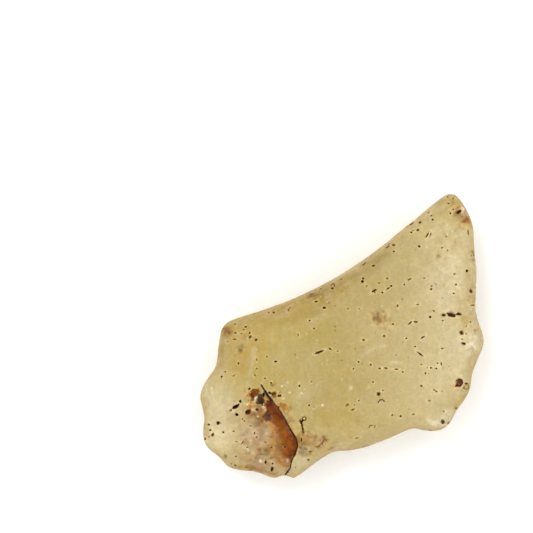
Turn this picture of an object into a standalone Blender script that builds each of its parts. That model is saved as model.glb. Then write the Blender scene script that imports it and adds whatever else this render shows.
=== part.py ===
"""A raw piece of Libyan desert glass, 42 mm long, lying on a worn flat on its underside.

It is one natural solid: worn facets above and below meet at a lobed rim, a fracture
ledge crosses the lower left lobe, and pits and open bubbles mark its surfaces.
Seen from above, +X is to the right and +Y is away. The origin is at the middle of
the bounding box, on the surface that the stone lies on.
"""

import math
from functools import reduce

import bmesh
import bpy
import numpy as np
from mathutils import Vector, noise
from mathutils.geometry import delaunay_2d_cdt

NODE = "desert_glass"
MM = 0.001

# Everything below is in millimetres, and headings are in degrees from +X.
TOP_HEIGHT = 10.3
RIM_HEIGHT = 4.7
RIM_ROUNDING = 2.2
LEAST_BULGE = 0.5
FACET_BLEND = 1.6
REST_BLEND = 0.4
REST_BORDER = 1.5

# The rim isn't level. It rises and falls in waves round this middle: (how many, height, phase).
RIM_MIDDLE = (0.0, -4.0)
RIM_WAVES = [(2, 0.35, 0.6), (3, 0.21, 2.0)]

# How finely the surface is faceted.
RIM_SPACING = 0.80
GRID_SPACING = 0.88
GRID_REACH = 18.0
ROUNDING_STEPS = (17, 33, 50, 68)
CURVE_STEPS = 12
CLEAR_OF_FEATURES = 0.33
CLEAR_OF_RINGS = 0.54
RING_KEEPS = 0.93
ON_THE_RIM = 0.001
WELD = 0.001
SHARP_EDGE = 40

# The rim seen from above, clockwise from the upper left corner. Points are (x, y).
LONG_EDGE = [
    (-14.0, 1.4), (-12.6, 2.1), (-9.4, 3.1), (-5.7, 4.5), (-2.0, 6.3), (2.1, 8.8), (6.0, 11.7), (9.5, 14.6),
]
TIP = [(11.9, 16.5), (13.0, 17.05), (13.9, 16.7), (14.9, 15.2)]
RIGHT_LOBES = [
    (15.7, 13.3), (15.9, 11.3), (16.0, 9.8), (16.2, 7.7), (16.1, 5.4), (16.0, 3.4), (16.4, 1.6), (16.9, 0.2),
    (17.0, -1.1), (16.4, -2.6), (15.7, -4.4), (15.3, -6.5), (14.6, -7.8), (13.7, -9.1), (13.2, -10.2),
]
LOWER_EDGE = [
    (12.4, -11.05), (11.3, -11.4), (9.9, -11.35), (8.5, -11.1), (7.2, -11.6), (5.2, -12.5), (3.4, -13.2),
    (1.0, -13.75), (-0.8, -13.9), (-1.9, -14.4), (-3.4, -15.4), (-4.7, -16.4),
]
LEDGE_NOTCH = [(-5.7, -17.0), (-6.3, -16.95), (-6.85, -16.65), (-7.5, -16.9), (-8.3, -17.05)]
LOWER_LEFT_LOBE = [
    (-9.4, -16.65), (-10.7, -16.25), (-12.2, -16.1), (-13.5, -15.75), (-14.2, -15.1), (-14.8, -14.4),
    (-15.9, -13.6), (-16.5, -12.6), (-16.65, -11.3), (-16.5, -9.9), (-16.75, -8.4), (-17.0, -7.2),
]
LEFT_EDGE = [
    (-16.6, -6.0), (-15.9, -4.8), (-15.2, -3.8), (-14.9, -2.6), (-14.8, -1.4), (-14.6, -0.1), (-14.4, 0.8),
]
RIM = LONG_EDGE + TIP + RIGHT_LOBES + LOWER_EDGE + LEDGE_NOTCH + LOWER_LEFT_LOBE + LEFT_EDGE

# Worn facets above: (direction, height, slope outwards, distance out where it has that height).
TOP_FACETS = [
    ((1.00, 0.20), TOP_HEIGHT, -0.07, 0.0),
    ((1.00, 0.10), 9.7, -0.33, 8.5),
    ((-0.75, -0.66), 9.9, -0.29, 6.0),
    ((0.30, -0.95), 9.8, -0.35, 6.5),
    ((-0.515, 0.857), 10.0, -0.88, 4.4),
    ((-1.00, 0.20), 9.7, -0.42, 9.5),
    ((0.70, 0.71), 9.8, -0.33, 12.5),
]
# The same for the underside.
UNDER_FACETS = [
    ((1.00, -0.05), 0.0, 0.28, 6.3),
    ((-0.80, -0.60), 0.0, 0.26, 7.3),
    ((0.20, -0.98), 0.0, 0.29, 7.3),
    ((-0.515, 0.857), 0.0, 0.68, 3.1),
    ((-1.00, 0.30), 0.0, 0.33, 9.0),
    ((0.60, 0.80), 0.0, 0.26, 9.0),
]
# Shallow flutes that run in from the rim's notches: (x, y, heading, length, width, depth).
TOP_FLUTES = [
    (16.0, 3.6, 180, 6.0, 1.7, 0.55),
    (15.4, -6.4, 165, 5.0, 1.5, 0.45),
    (13.2, -10.1, 140, 4.5, 1.4, 0.50),
    (8.5, -11.1, 100, 5.0, 1.7, 0.55),
    (-1.0, -13.9, 95, 5.0, 1.8, 0.50),
    (-14.6, -14.6, 45, 4.5, 1.3, 0.50),
    (-16.5, -9.9, 5, 4.5, 1.4, 0.45),
    (-15.0, -3.2, 350, 5.5, 2.0, 0.60),
    (-4.5, 5.2, 290, 4.5, 3.0, 0.40),
    (15.9, 11.0, 200, 4.0, 1.6, 0.35),
]
UNDER_FLUTES = [
    (14.5, 2.0, 190, 7.0, 2.4, 0.60),
    (11.0, -9.0, 130, 6.0, 2.2, 0.55),
    (-13.0, -11.0, 30, 6.0, 2.6, 0.60),
    (-13.0, -2.0, 340, 5.0, 2.0, 0.50),
    (10.0, 12.0, 235, 6.0, 2.2, 0.50),
    (0.5, -12.0, 80, 5.0, 2.2, 0.45),
]
# The fracture ledge, from its start on the face to the rim's notch. The lobe on its left lies lower.
LEDGE_LINE = [
    (-9.7, -5.9), (-9.2, -6.6), (-8.5, -7.7), (-7.7, -8.5), (-7.0, -9.6), (-6.4, -10.6), (-5.8, -11.6),
    (-5.4, -12.4), (-5.3, -13.2), (-5.5, -13.9), (-5.9, -14.6), (-6.15, -15.3), (-6.35, -15.9),
]
LEDGE_DROP = 0.85
LEDGE_WIDTH = 0.12
LEDGE_FADE = 6.5
LEDGE_START = 3.5
# A soft crest between the left face and the main face.
CREST = [(-11.3, 1.2), (-12.6, -7.0)]
CREST_RISE = 0.22
CREST_WIDTH = 1.1
# Broad swells and fine unevenness of the worn faces: (wavelength, height). Each face has its own noise layer.
SWELLS = [(7.5, 0.70), (2.8, 0.20)]
TOP_LAYER = 0.3
UNDER_LAYER = 7.7

# Pits and open bubbles of the upper face: (x, y, length, width, heading, depth).
TOP_PITS = [
    # The cavities at the head of the ledge.
    (-10.5, -6.8, 1.25, 0.95, 20, 0.55),
    (-9.85, -7.65, 1.15, 0.95, 60, 0.60),
    (-11.2, -9.1, 0.75, 0.55, 10, 0.40),
    # Beside them on the lobe.
    (-12.8, -8.5, 0.95, 0.50, 30, 0.35),
    (-12.6, -9.4, 0.50, 0.45, 0, 0.25),
    (-14.9, -10.45, 0.48, 0.48, 0, 0.28),
    (-15.5, -11.9, 0.50, 0.45, 40, 0.25),
    (-8.35, -16.0, 0.60, 0.42, 75, 0.28),
    # Right of the ledge.
    (-8.15, -7.0, 0.75, 0.50, 160, 0.30),
    (-7.5, -7.15, 0.60, 0.45, 20, 0.28),
    (-4.9, -10.1, 0.75, 0.45, 60, 0.25),
    # The main face.
    (-2.75, -1.9, 1.15, 0.48, 22, 0.35),
    (2.45, 6.55, 0.50, 0.45, 0, 0.28),
    (3.85, 5.45, 0.75, 0.42, 30, 0.25),
    (4.4, -6.95, 0.52, 0.52, 0, 0.30),
    (-11.0, -0.1, 0.55, 0.42, 45, 0.25),
    (-10.3, -0.5, 0.48, 0.42, 0, 0.25),
    # Along the right edge.
    (13.1, 2.6, 1.20, 0.65, 165, 0.42),
    (12.2, 2.5, 0.62, 0.48, 0, 0.30),
    (14.05, 2.65, 0.75, 0.45, 170, 0.30),
    (14.35, 0.4, 0.62, 0.52, 130, 0.35),
    (14.5, -0.9, 0.70, 0.42, 170, 0.28),
    (15.45, 5.35, 0.52, 0.50, 0, 0.25),
    (14.05, -5.65, 1.05, 0.90, 65, 0.55),
    (12.1, -10.3, 0.60, 0.52, 80, 0.35),
    (14.05, 14.9, 0.80, 0.42, 38, 0.32),
]
UNDER_PITS = [
    (-9.0, 0.5, 1.10, 0.80, 20, 0.40),
    (-12.5, -8.5, 0.90, 0.70, 70, 0.35),
    (11.0, 9.5, 0.80, 0.55, 40, 0.30),
    (12.5, -3.5, 1.20, 0.75, 110, 0.40),
    (3.0, -11.0, 0.75, 0.60, 0, 0.30),
    (12.0, 2.0, 0.70, 0.60, 0, 0.28),
    (-8.0, -13.5, 0.85, 0.55, 130, 0.32),
    (8.5, -8.5, 0.60, 0.55, 0, 0.25),
]
PIT_SIDES = 8
PIT_INNER_RING = 0.55


def smooth_step(value):
    t = np.clip(value, 0, 1)
    return t * t * (3 - 2 * t)


def soft_min(a, b, blend):
    overlap = np.maximum(blend - np.abs(a - b), 0) / blend
    return np.minimum(a, b) - overlap * overlap * blend / 4


def soft_max(a, b, blend):
    return -soft_min(-a, -b, blend)


def turned(points, x, y, heading):
    """The points measured from (x, y), along the heading and across it."""
    c, s = math.cos(math.radians(heading)), math.sin(math.radians(heading))
    dx, dy = points[:, 0] - x, points[:, 1] - y
    return dx * c + dy * s, dy * c - dx * s


def smooth_loop(corners, steps):
    """A closed Catmull-Rom curve through the corners."""
    p1 = np.array(corners, float)
    p0, p2, p3 = np.roll(p1, 1, axis=0), np.roll(p1, -1, axis=0), np.roll(p1, -2, axis=0)
    slope, bend, twist = p2 - p0, 2 * p0 - 5 * p1 + 4 * p2 - p3, 3 * p1 - p0 - 3 * p2 + p3
    stops = [p1 + (slope * t + bend * t**2 + twist * t**3) / 2 for t in np.arange(steps) / steps]
    return np.stack(stops, axis=1).reshape(-1, 2)


def evenly_spaced(loop, spacing):
    """The closed loop walked at an even spacing."""
    closed = np.vstack([loop, loop[:1]])
    along = np.r_[0, np.cumsum(np.hypot(*np.diff(closed, axis=0).T))]
    stops = np.linspace(0, along[-1], round(along[-1] / spacing), endpoint=False)
    return np.column_stack([np.interp(stops, along, closed[:, k]) for k in (0, 1)])


def nearest_on_line(points, line):
    """For each point: its distance to the line, the length along the line there, and its side of it."""
    start, end = line[:-1], line[1:]
    run = end - start
    length = np.hypot(*run.T)
    away = points[:, None, :] - start
    share = np.clip((away * run).sum(axis=2) / length**2, 0, 1)
    gap = away - share[:, :, None] * run
    distance = np.hypot(gap[:, :, 0], gap[:, :, 1])
    best = distance.argmin(axis=1)
    row = np.arange(len(points))
    begins = np.r_[0, np.cumsum(length)][:-1]
    along = begins[best] + share[row, best] * length[best]
    side = np.sign(run[best, 0] * away[row, best, 1] - run[best, 1] * away[row, best, 0])
    return distance[row, best], along, side


RIM_CURVE = smooth_loop(RIM, CURVE_STEPS)
CLOSED_RIM = np.vstack([RIM_CURVE, RIM_CURVE[:1]])


def rim_distance(points):
    return nearest_on_line(points, CLOSED_RIM)[0]


def is_inside(points):
    """True for the points inside the rim, by counting the rim's crossings of a ray."""
    x, y = points[:, :1], points[:, 1:]
    ax, ay = CLOSED_RIM[:-1].T
    bx, by = CLOSED_RIM[1:].T
    spans = (ay > y) != (by > y)
    height = np.where(by == ay, 1.0, by - ay)
    crossing = ax + (y - ay) / height * (bx - ax)
    return (spans & (x < crossing)).sum(axis=1) % 2 == 1


def rounding(points):
    """0 at the rim and 1 past the rounded edge, along a quarter of an ellipse."""
    depth = np.clip((rim_distance(points) - ON_THE_RIM) / RIM_ROUNDING, 0, 1)
    return np.sqrt(1 - (1 - depth) ** 2)


def swell(points, layer):
    """The worn unevenness of a face."""
    height = np.zeros(len(points))
    for wavelength, amount in SWELLS:
        scaled = points / wavelength
        height += amount * np.array([noise.noise(Vector((x, y, layer))) for x, y in scaled])
    return height


def flute_depth(points, flutes):
    depth = np.zeros(len(points))
    for x, y, heading, length, width, deepest in flutes:
        along, across = turned(points, x, y, heading)
        depth += deepest * np.exp(-((across / width) ** 2)) * (1 - smooth_step(np.abs(along) / length))
    return depth


def pit_depth(points, pits):
    """How far the pits sink each point. A pit is an ellipse with a round floor."""
    depth = np.zeros(len(points))
    for x, y, length, width, heading, deepest in pits:
        along, across = turned(points, x, y, heading)
        out = (2 * along / length) ** 2 + (2 * across / width) ** 2
        depth = np.maximum(depth, deepest * np.sqrt(np.clip(1 - out, 0, 1)))
    return depth


def ledge_drop(points):
    """How far the ledge lowers the lobe on its left: a sharp step at its line that fades away from it."""
    distance, along, side = nearest_on_line(points, np.array(LEDGE_LINE))
    drop = LEDGE_DROP * smooth_step(along / LEDGE_START) * (1 - smooth_step(distance / LEDGE_FADE))
    return np.where(side < 0, drop, 0)


def crest_rise(points):
    distance = nearest_on_line(points, np.array(CREST))[0]
    return CREST_RISE * np.exp(-((distance / CREST_WIDTH) ** 2))


def rim_height(points):
    angle = np.arctan2(points[:, 1] - RIM_MIDDLE[1], points[:, 0] - RIM_MIDDLE[0])
    return RIM_HEIGHT + sum(height * np.sin(count * angle + phase) for count, height, phase in RIM_WAVES)


def worn_facets(points, facets, blended):
    """The facets' planes, run into each other."""
    planes = []
    for direction, height, slope, start in facets:
        out = points @ np.array(direction) / math.hypot(*direction) - start
        planes.append(height + slope * out)
    return reduce(lambda a, b: blended(a, b, FACET_BLEND), planes)


def top_face(points):
    face = worn_facets(points, TOP_FACETS, soft_min)
    face += crest_rise(points) + swell(points, TOP_LAYER)
    face -= flute_depth(points, TOP_FLUTES) + ledge_drop(points)
    rim = rim_height(points)
    return rim + np.maximum(face - rim, LEAST_BULGE) * rounding(points) - pit_depth(points, TOP_PITS)


def under_face(points):
    """The underside, with its resting flat at exactly zero."""
    face = soft_max(worn_facets(points, UNDER_FACETS, soft_max), np.zeros(len(points)), REST_BLEND)
    worn = smooth_step(face / REST_BORDER)
    face += worn * (swell(points, UNDER_LAYER) + flute_depth(points, UNDER_FLUTES))
    face = np.maximum(face, 0)
    rim = rim_height(points)
    rounded = np.where(face > 0, rounding(points), 1)
    return rim - np.maximum(rim - face, LEAST_BULGE) * rounded + worn * pit_depth(points, UNDER_PITS)


def rim_rings():
    """The rim's own points, then the points of the rings that follow its rounding inwards."""
    rim = evenly_spaced(RIM_CURVE, RIM_SPACING)
    ahead = np.roll(rim, -1, axis=0) - np.roll(rim, 1, axis=0)
    inward = np.column_stack([ahead[:, 1], -ahead[:, 0]]) / np.hypot(*ahead.T)[:, None]
    rings = []
    for angle in ROUNDING_STEPS:
        inset = RIM_ROUNDING * (1 - math.cos(math.radians(angle)))
        ring = rim + inward * inset
        rings.append(ring[is_inside(ring) & (rim_distance(ring) > RING_KEEPS * inset)])
    return rim, np.vstack(rings)


def pit_rings(pits):
    """The points that draw each pit: its edge, a ring inside it and its middle."""
    rows = []
    for x, y, length, width, heading, _ in pits:
        c, s = math.cos(math.radians(heading)), math.sin(math.radians(heading))
        for share in (1, PIT_INNER_RING):
            for k in range(PIT_SIDES):
                turn = 2 * math.pi * k / PIT_SIDES
                along, across = share * length / 2 * math.cos(turn), share * width / 2 * math.sin(turn)
                rows.append((x + along * c - across * s, y + along * s + across * c))
        rows.append((x, y))
    return np.array(rows)


def ledge_lines():
    """The lip and the foot of the ledge, either side of its line."""
    line = np.array(LEDGE_LINE)
    run = np.gradient(line, axis=0)
    sideways = np.column_stack([-run[:, 1], run[:, 0]]) / np.hypot(*run.T)[:, None] * LEDGE_WIDTH / 2
    return line + sideways, line - sideways


def thinned(points, keep, clearance):
    """The points that are at least the clearance from every kept one."""
    for other in keep:
        points = points[np.hypot(*(points - other).T) > clearance]
    return points


def grid_points(least_inset):
    """A grid of equal triangles over the inside of the rim."""
    rise = GRID_SPACING * math.sqrt(3) / 2
    rows = []
    for j, y in enumerate(np.arange(-GRID_REACH, GRID_REACH, rise)):
        shift = GRID_SPACING / 2 * (j % 2)
        rows += [(x + shift, y) for x in np.arange(-GRID_REACH, GRID_REACH, GRID_SPACING)]
    grid = np.array(rows)
    grid = grid[is_inside(grid)]
    return grid[rim_distance(grid) > least_inset]


def plan_of_face(pits, lines):
    """Triangles over the plan, with the rim's points first: (points, triangles)."""
    rim, rings = rim_rings()
    drawn = np.vstack([*lines, pit_rings(pits)])
    last_ring = RIM_ROUNDING * (1 - math.cos(math.radians(ROUNDING_STEPS[-1])))
    rings = thinned(rings, drawn, CLEAR_OF_FEATURES)
    grid = thinned(grid_points(last_ring + GRID_SPACING / 2), np.vstack([drawn, rings]), CLEAR_OF_RINGS)
    points = np.vstack([rim, drawn, rings, grid])
    edges, first = [], len(rim)
    for line in lines:
        edges += [(first + k, first + k + 1) for k in range(len(line) - 1)]
        first += len(line)
    border = [list(range(len(rim)))]
    made, _, triangles, *_ = delaunay_2d_cdt([Vector(p) for p in points], edges, border, 1, 1e-5)
    return np.array([tuple(p) for p in made]), triangles


def add_face(bm, plan, heights, triangles, upward):
    vertices = [bm.verts.new((x * MM, y * MM, z * MM)) for (x, y), z in zip(plan, heights)]
    for a, b, c in triangles:
        turns_left = np.cross(plan[b] - plan[a], plan[c] - plan[a]) > 0
        corners = (a, b, c) if turns_left == upward else (a, c, b)
        bm.faces.new([vertices[k] for k in corners])


def glass_material():
    """Frosted pale straw-yellow natural glass."""
    material = bpy.data.materials.new("desert_glass")
    material.use_nodes = True
    shader = material.node_tree.nodes["Principled BSDF"]
    shader.inputs["Base Color"].default_value = (0.56, 0.43, 0.18, 1)
    shader.inputs["Roughness"].default_value = 0.45
    shader.inputs["Metallic"].default_value = 0
    shader.inputs["IOR"].default_value = 1.46
    return material


def make_stone():
    bm = bmesh.new()
    plan, triangles = plan_of_face(TOP_PITS, ledge_lines())
    add_face(bm, plan, top_face(plan), triangles, upward=True)
    plan, triangles = plan_of_face(UNDER_PITS, ())
    add_face(bm, plan, under_face(plan), triangles, upward=False)
    bmesh.ops.remove_doubles(bm, verts=bm.verts, dist=WELD * MM)
    mesh = bpy.data.meshes.new(NODE)
    bm.to_mesh(mesh)
    bm.free()
    corners = np.array([v.co for v in mesh.vertices])
    low, high = corners.min(axis=0), corners.max(axis=0)
    origin = Vector(((low[0] + high[0]) / 2, (low[1] + high[1]) / 2, low[2]))
    for vertex in mesh.vertices:
        vertex.co -= origin
    mesh.shade_smooth()
    mesh.set_sharp_from_angle(angle=math.radians(SHARP_EDGE))
    mesh.materials.append(glass_material())
    stone = bpy.data.objects.new(NODE, mesh)
    bpy.context.scene.collection.objects.link(stone)
    return stone


def main():
    for obj in list(bpy.data.objects):
        bpy.data.objects.remove(obj)
    make_stone()


main()
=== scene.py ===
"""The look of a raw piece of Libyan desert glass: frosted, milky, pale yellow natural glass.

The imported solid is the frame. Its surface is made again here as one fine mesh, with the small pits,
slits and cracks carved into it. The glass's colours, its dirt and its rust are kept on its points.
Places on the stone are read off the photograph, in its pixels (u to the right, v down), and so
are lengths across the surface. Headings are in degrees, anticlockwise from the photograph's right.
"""

import math

import bmesh
import bpy
import numpy as np
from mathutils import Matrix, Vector, noise
from mathutils.bvhtree import BVHTree
from mathutils.kdtree import KDTree


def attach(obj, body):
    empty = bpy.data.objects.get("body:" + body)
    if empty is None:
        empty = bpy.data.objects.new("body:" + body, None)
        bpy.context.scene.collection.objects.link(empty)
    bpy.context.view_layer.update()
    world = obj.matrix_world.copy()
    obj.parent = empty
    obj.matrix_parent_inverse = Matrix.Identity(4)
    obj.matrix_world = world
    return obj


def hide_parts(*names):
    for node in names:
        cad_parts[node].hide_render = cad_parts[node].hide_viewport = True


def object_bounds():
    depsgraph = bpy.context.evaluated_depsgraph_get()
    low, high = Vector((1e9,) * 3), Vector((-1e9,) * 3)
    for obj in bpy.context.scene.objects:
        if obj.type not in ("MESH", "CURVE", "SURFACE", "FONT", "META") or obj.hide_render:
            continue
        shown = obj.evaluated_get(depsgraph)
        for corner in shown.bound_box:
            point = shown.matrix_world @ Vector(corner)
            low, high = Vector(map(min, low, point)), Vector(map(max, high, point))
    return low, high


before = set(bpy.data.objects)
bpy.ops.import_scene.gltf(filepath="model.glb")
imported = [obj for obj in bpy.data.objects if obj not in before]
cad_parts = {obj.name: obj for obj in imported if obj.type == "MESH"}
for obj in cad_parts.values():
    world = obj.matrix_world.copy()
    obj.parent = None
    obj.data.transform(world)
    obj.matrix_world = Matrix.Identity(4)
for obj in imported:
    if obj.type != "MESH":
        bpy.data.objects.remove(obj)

CAD_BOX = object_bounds()
NODE = "desert_glass"
MM = 0.001

# The photograph's frame. It looks straight down, and the stone's middle is at STONE_MIDDLE in it.
PHOTO_SIDE = 533
PIXEL = 0.12 * MM
STONE_MIDDLE = (342.0, 336.0)
RIM_HEIGHT = 4.7 * MM
CAMERA_ABOVE_RIM = 0.9

# The smooth surface: folds from CREASE_ANGLE degrees on stay sharp. Every point is set on the surface
# with TARGET_LEVELS of subdivision, and the mesh that is refined starts with START_LEVELS.
SAME_POINT = 1e-7
CREASE_ANGLE = 38
TARGET_LEVELS = 3
START_LEVELS = 1
CORNER_ROUNDS = 2
CORNER_REACH = 0.8
SHARP_ANGLE = 55

# How fine the mesh gets, in pixels. Edges may be longer by GROWTH times their distance to a mark, and
# one that is TOO_LONG times what it may be is halved.
FINEST = 0.4
STEPS_ACROSS_MARK = 6
STEPS_ACROSS_CRACK = 3
MARK_MARGIN = 0.5
CRACK_STEP = 1.5
PATCH_FINENESS = 0.7
CLOUD_FINENESS = 1.4
GROWTH = 0.65
TOO_LONG = 1.35
REFINING_ROUNDS = 5
POINTS_AT_ONCE = 4000

# Gentle unevenness of the worn surface: (size across, height) in mm.
RELIEF = [(3.6, 0.06), (1.3, 0.022)]

# How fast soft spots fade outward, and how far apart the noise of two rows of a table lies.
SPOT_FADING = 1.4
LAYERS_APART = 37

# The glass's own colours, and how milky it is with each. The last one is painted shade of the upper rim,
# and so is treacle where it lies along that rim.
GLASS = {
    "straw": ((0.73, 0.59, 0.235), 0),
    "olive": ((0.66, 0.56, 0.19), 0),
    "honey": ((0.6, 0.41, 0.08), 0.07),
    "tan": ((0.59, 0.42, 0.13), 0.2),
    "gold": ((0.69, 0.55, 0.135), 0),
    "haze": ((0.58, 0.48, 0.235), 0.14),
    "pale": ((0.86, 0.78, 0.53), 0.2),
    "rose": ((0.465, 0.29, 0.16), 0.35),
    "clay": ((0.42, 0.24, 0.105), 0.2),
    "milk": ((0.74, 0.65, 0.5), 0.7),
    "treacle": ((0.43, 0.288, 0.03), 0.1),
    # Painted shade along the upper rim, not a colour of the glass.
    "shaded_rim": ((0.37, 0.236, 0.014), 0.6),
}

# How far out a zone reaches, and its uneven edge: how uneven, the size of the patches as a share of
# the zone's width, and their least size. ZONE_LAYERS keeps this noise apart from that of other tables.
ZONE_REACH = 2
ZONE_NOISE = (0.35, 0.5, 5)
ZONE_LAYERS = 0.25
# Wide, soft zones of glass colour on the top: (u, v, length, width, heading, glass, strength). The dark
# strips along the upper rim are painted shade of that edge.
ZONES = [
    (466, 320, 280, 150, 85, "pale", 0.66), (445, 225, 90, 70, 60, "straw", 0.75),
    (446, 224, 76, 56, 60, "haze", 0.85), (447, 238, 54, 34, 60, "haze", 0.6),
    (440, 264, 80, 40, 60, "milk", 0.22), (455, 352, 60, 36, 80, "milk", 0.12),
    (455, 261, 22, 17, 60, "pale", 0.6), (440, 206, 16, 6, -20, "pale", 0.4),
    (456, 234, 20, 5, -38, "pale", 0.5), (442, 216, 4, 16, 0, "tan", 0.35),
    (442, 301, 26, 12, 20, "pale", 0.45), (288, 350, 150, 96, 28, "gold", 0.85),
    (262, 336, 60, 40, 20, "honey", 0.25), (293, 390, 60, 40, 0, "gold", 0.5),
    # The strips along the upper rim on this line and below are painted shade of that edge.
    (284, 305, 110, 19, 23, "treacle", 0.8), (296, 317, 70, 26, 22, "treacle", 0.28),
    (372, 268, 50, 18, 38, "treacle", 0.38), (230, 328, 36, 20, 30, "treacle", 0.5),
    (345, 279, 80, 13, 31, "treacle", 0.55), (384, 251, 70, 12, 41, "treacle", 0.45),
    (228, 402, 44, 30, 80, "pale", 0.55), (226, 436, 34, 24, 100, "pale", 0.5),
    (330, 385, 130, 90, 20, "olive", 0.4), (326, 416, 80, 44, 20, "gold", 0.5),
    (325, 302, 150, 28, 22, "honey", 0.45), (395, 268, 110, 22, 38, "olive", 0.45),
    (214, 425, 100, 44, 100, "pale", 0.55), (206, 396, 40, 14, 95, "milk", 0.18),
    (212, 444, 26, 18, 130, "milk", 0.3), (214, 452, 22, 14, 130, "tan", 0.45),
    (205, 415, 34, 9, 95, "tan", 0.8), (242, 356, 56, 26, 80, "honey", 1),
    (236, 340, 40, 30, 0, "honey", 0.95), (246, 344, 34, 26, 20, "honey", 0.85),
    (222, 346, 50, 12, 82, "treacle", 0.45), (252, 364, 44, 4, 78, "pale", 0.65),
    (246, 356, 40, 4, 78, "honey", 0.5), (257, 405, 30, 24, 110, "tan", 0.75),
    (257, 434, 62, 44, 105, "rose", 0.95), (260, 428, 16, 12, 120, "clay", 0.35),
    (246, 434, 12, 20, 90, "milk", 0.3), (247, 460, 40, 14, 160, "clay", 0.6),
    (248.4, 449.4, 20, 2.4, 140, "milk", 0.75), (267, 466, 34, 16, 0, "rose", 0.85),
    (264, 457, 22, 14, 150, "clay", 0.4), (252.8, 460.8, 13, 9, 130, "clay", 0.6),
    (233, 466, 26, 8, 160, "clay", 0.55), (312, 440, 34, 18, 0, "rose", 0.6),
    (330, 446, 60, 8, 20, "tan", 0.3), (344, 444.4, 22, 2.2, 18, "milk", 0.65),
    (342, 448.2, 16, 1.8, 12, "milk", 0.5), (350, 436.4, 9, 8, 0, "honey", 0.5),
    (300, 462, 24, 18, 60, "pale", 0.6), (450, 396, 60, 20, 75, "straw", 0.3),
    (474, 376, 64, 9, 72, "tan", 0.95), (472, 366, 34, 13, 78, "honey", 0.6),
    (465, 398, 26, 9, 58, "honey", 0.95), (474, 345, 22, 14, 95, "milk", 0.32),
    (478, 331, 12, 5, 25, "honey", 0.85), (475, 351, 9, 3, 5, "honey", 0.6),
    (452, 201, 34, 20, 20, "tan", 0.9), (454, 205, 22, 18, 0, "treacle", 0.35),
    (464, 217, 28, 14, 130, "tan", 0.8), (471, 292, 60, 11, 92, "tan", 0.85),
    (464, 316, 34, 12, 100, "tan", 0.7), (401, 436, 50, 9, 4, "treacle", 0.5),
    (473, 254, 20, 6, 95, "honey", 0.6), (452, 292, 34, 18, 70, "milk", 0.2),
    (430, 421, 34, 9, 0, "milk", 0.35), (300, 392, 46, 26, 0, "pale", 0.18),
    (372, 350, 30, 4, 28, "pale", 0.6), (394, 363, 13, 5, 5, "milk", 0.45),
    (351, 388, 5, 5, 0, "milk", 0.4), (384, 346, 7, 4, 10, "milk", 0.45),
    (430, 240, 60, 12, 50, "pale", 0.3), (438, 256, 6, 5, 0, "honey", 0.6),
    # Painted shade along the upper rim.
    (288, 304, 110, 13, 21, "shaded_rim", 0.55), (326, 292, 44, 12, 24, "shaded_rim", 0.55),
    (362, 269, 50, 10, 34, "shaded_rim", 0.45), (402, 236, 50, 8, 42, "shaded_rim", 0.3),
    (221, 344, 44, 7, 83, "shaded_rim", 0.15), (249, 332, 18, 24, 90, "honey", 0.4),
    (291, 416, 14, 30, 30, "honey", 0.4), (340, 416, 64, 44, 20, "honey", 0.2),
    (318, 388, 40, 30, 0, "honey", 0.14), (458, 402, 20, 26, 60, "honey", 0.3),
    (462, 322, 18, 30, 90, "honey", 0.28), (458, 298, 16, 14, 0, "honey", 0.22),
    (458, 212, 24, 32, 120, "tan", 0.4), (326, 293, 40, 16, 24, "treacle", 0.55),
    (372, 264, 60, 12, 36, "treacle", 0.45), (222, 345, 44, 10, 83, "treacle", 0.5),
    (250, 322, 24, 12, 20, "honey", 0.5), (442, 202, 20, 9, 42, "treacle", 0.5),
    (471, 228, 20, 7, 112, "tan", 0.6), (206.8, 395, 24, 3, 97, "milk", 0.4),
    (212, 394, 20, 2.4, 95, "milk", 0.35), (448, 415, 12, 14, 60, "milk", 0.6),
    (440, 424, 24, 8, 0, "milk", 0.6), (472, 346, 18, 12, 95, "milk", 0.45),
    (250, 468.6, 34, 4, 165, "clay", 0.55), (270, 473.6, 24, 4, 165, "clay", 0.45),
    (206, 404, 14, 6, 95, "tan", 0.5), (206.5, 431, 12, 6, 100, "tan", 0.45),
    (316, 310, 30, 16, 20, "treacle", 0.35), (268, 318, 60, 20, 18, "honey", 0.3),
    (246, 338, 16, 30, 0, "honey", 0.3), (458, 410, 16, 14, 0, "honey", 0.35),
    (374, 270, 34, 12, 36, "treacle", 0.4), (444, 202, 16, 10, 42, "treacle", 0.45),
    (470, 226, 12, 16, 110, "tan", 0.5),
]

# What lies in and on the glass, in linear colours.
TONES = {
    "black": (0.02, 0.005, 0.001),
    "brown": (0.085, 0.03, 0.006),
    "umber": (0.12, 0.038, 0.005),
    "chestnut": (0.095, 0.018, 0.003),
    "redbrown": (0.168, 0.038, 0.004),
    "ginger": (0.235, 0.074, 0.004),
    "ochre": (0.215, 0.105, 0.009),
    "sienna": (0.042, 0.014, 0.004),
    "garnet": (0.17, 0.062, 0.026),
    "russet": (0.24, 0.108, 0.024),
    "sepia": (0.315, 0.18, 0.05),
    "moss": (0.215, 0.132, 0.03),
    "rust": (0.31, 0.09, 0.006),
    "orange": (0.4, 0.155, 0.014),
    "copper": (0.32, 0.128, 0.032),
    "syrup": (0.3, 0.108, 0.004),
    "amber": (0.38, 0.22, 0.04),
    "caramel": (0.2, 0.12, 0.018),
    "peach": (0.47, 0.262, 0.1),
    "olive": (0.185, 0.125, 0.04),
    "soot": (0.085, 0.06, 0.032),
    "dusk": (0.062, 0.026, 0.012),
    "plum": (0.078, 0.027, 0.008),
    "slate": (0.1, 0.062, 0.036),
    "mauve": (0.2, 0.105, 0.065),
    "milk": (0.8, 0.68, 0.5),
    "halo": (0.76, 0.66, 0.36),
    "fringe": (0.33, 0.155, 0.012),
}
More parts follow.
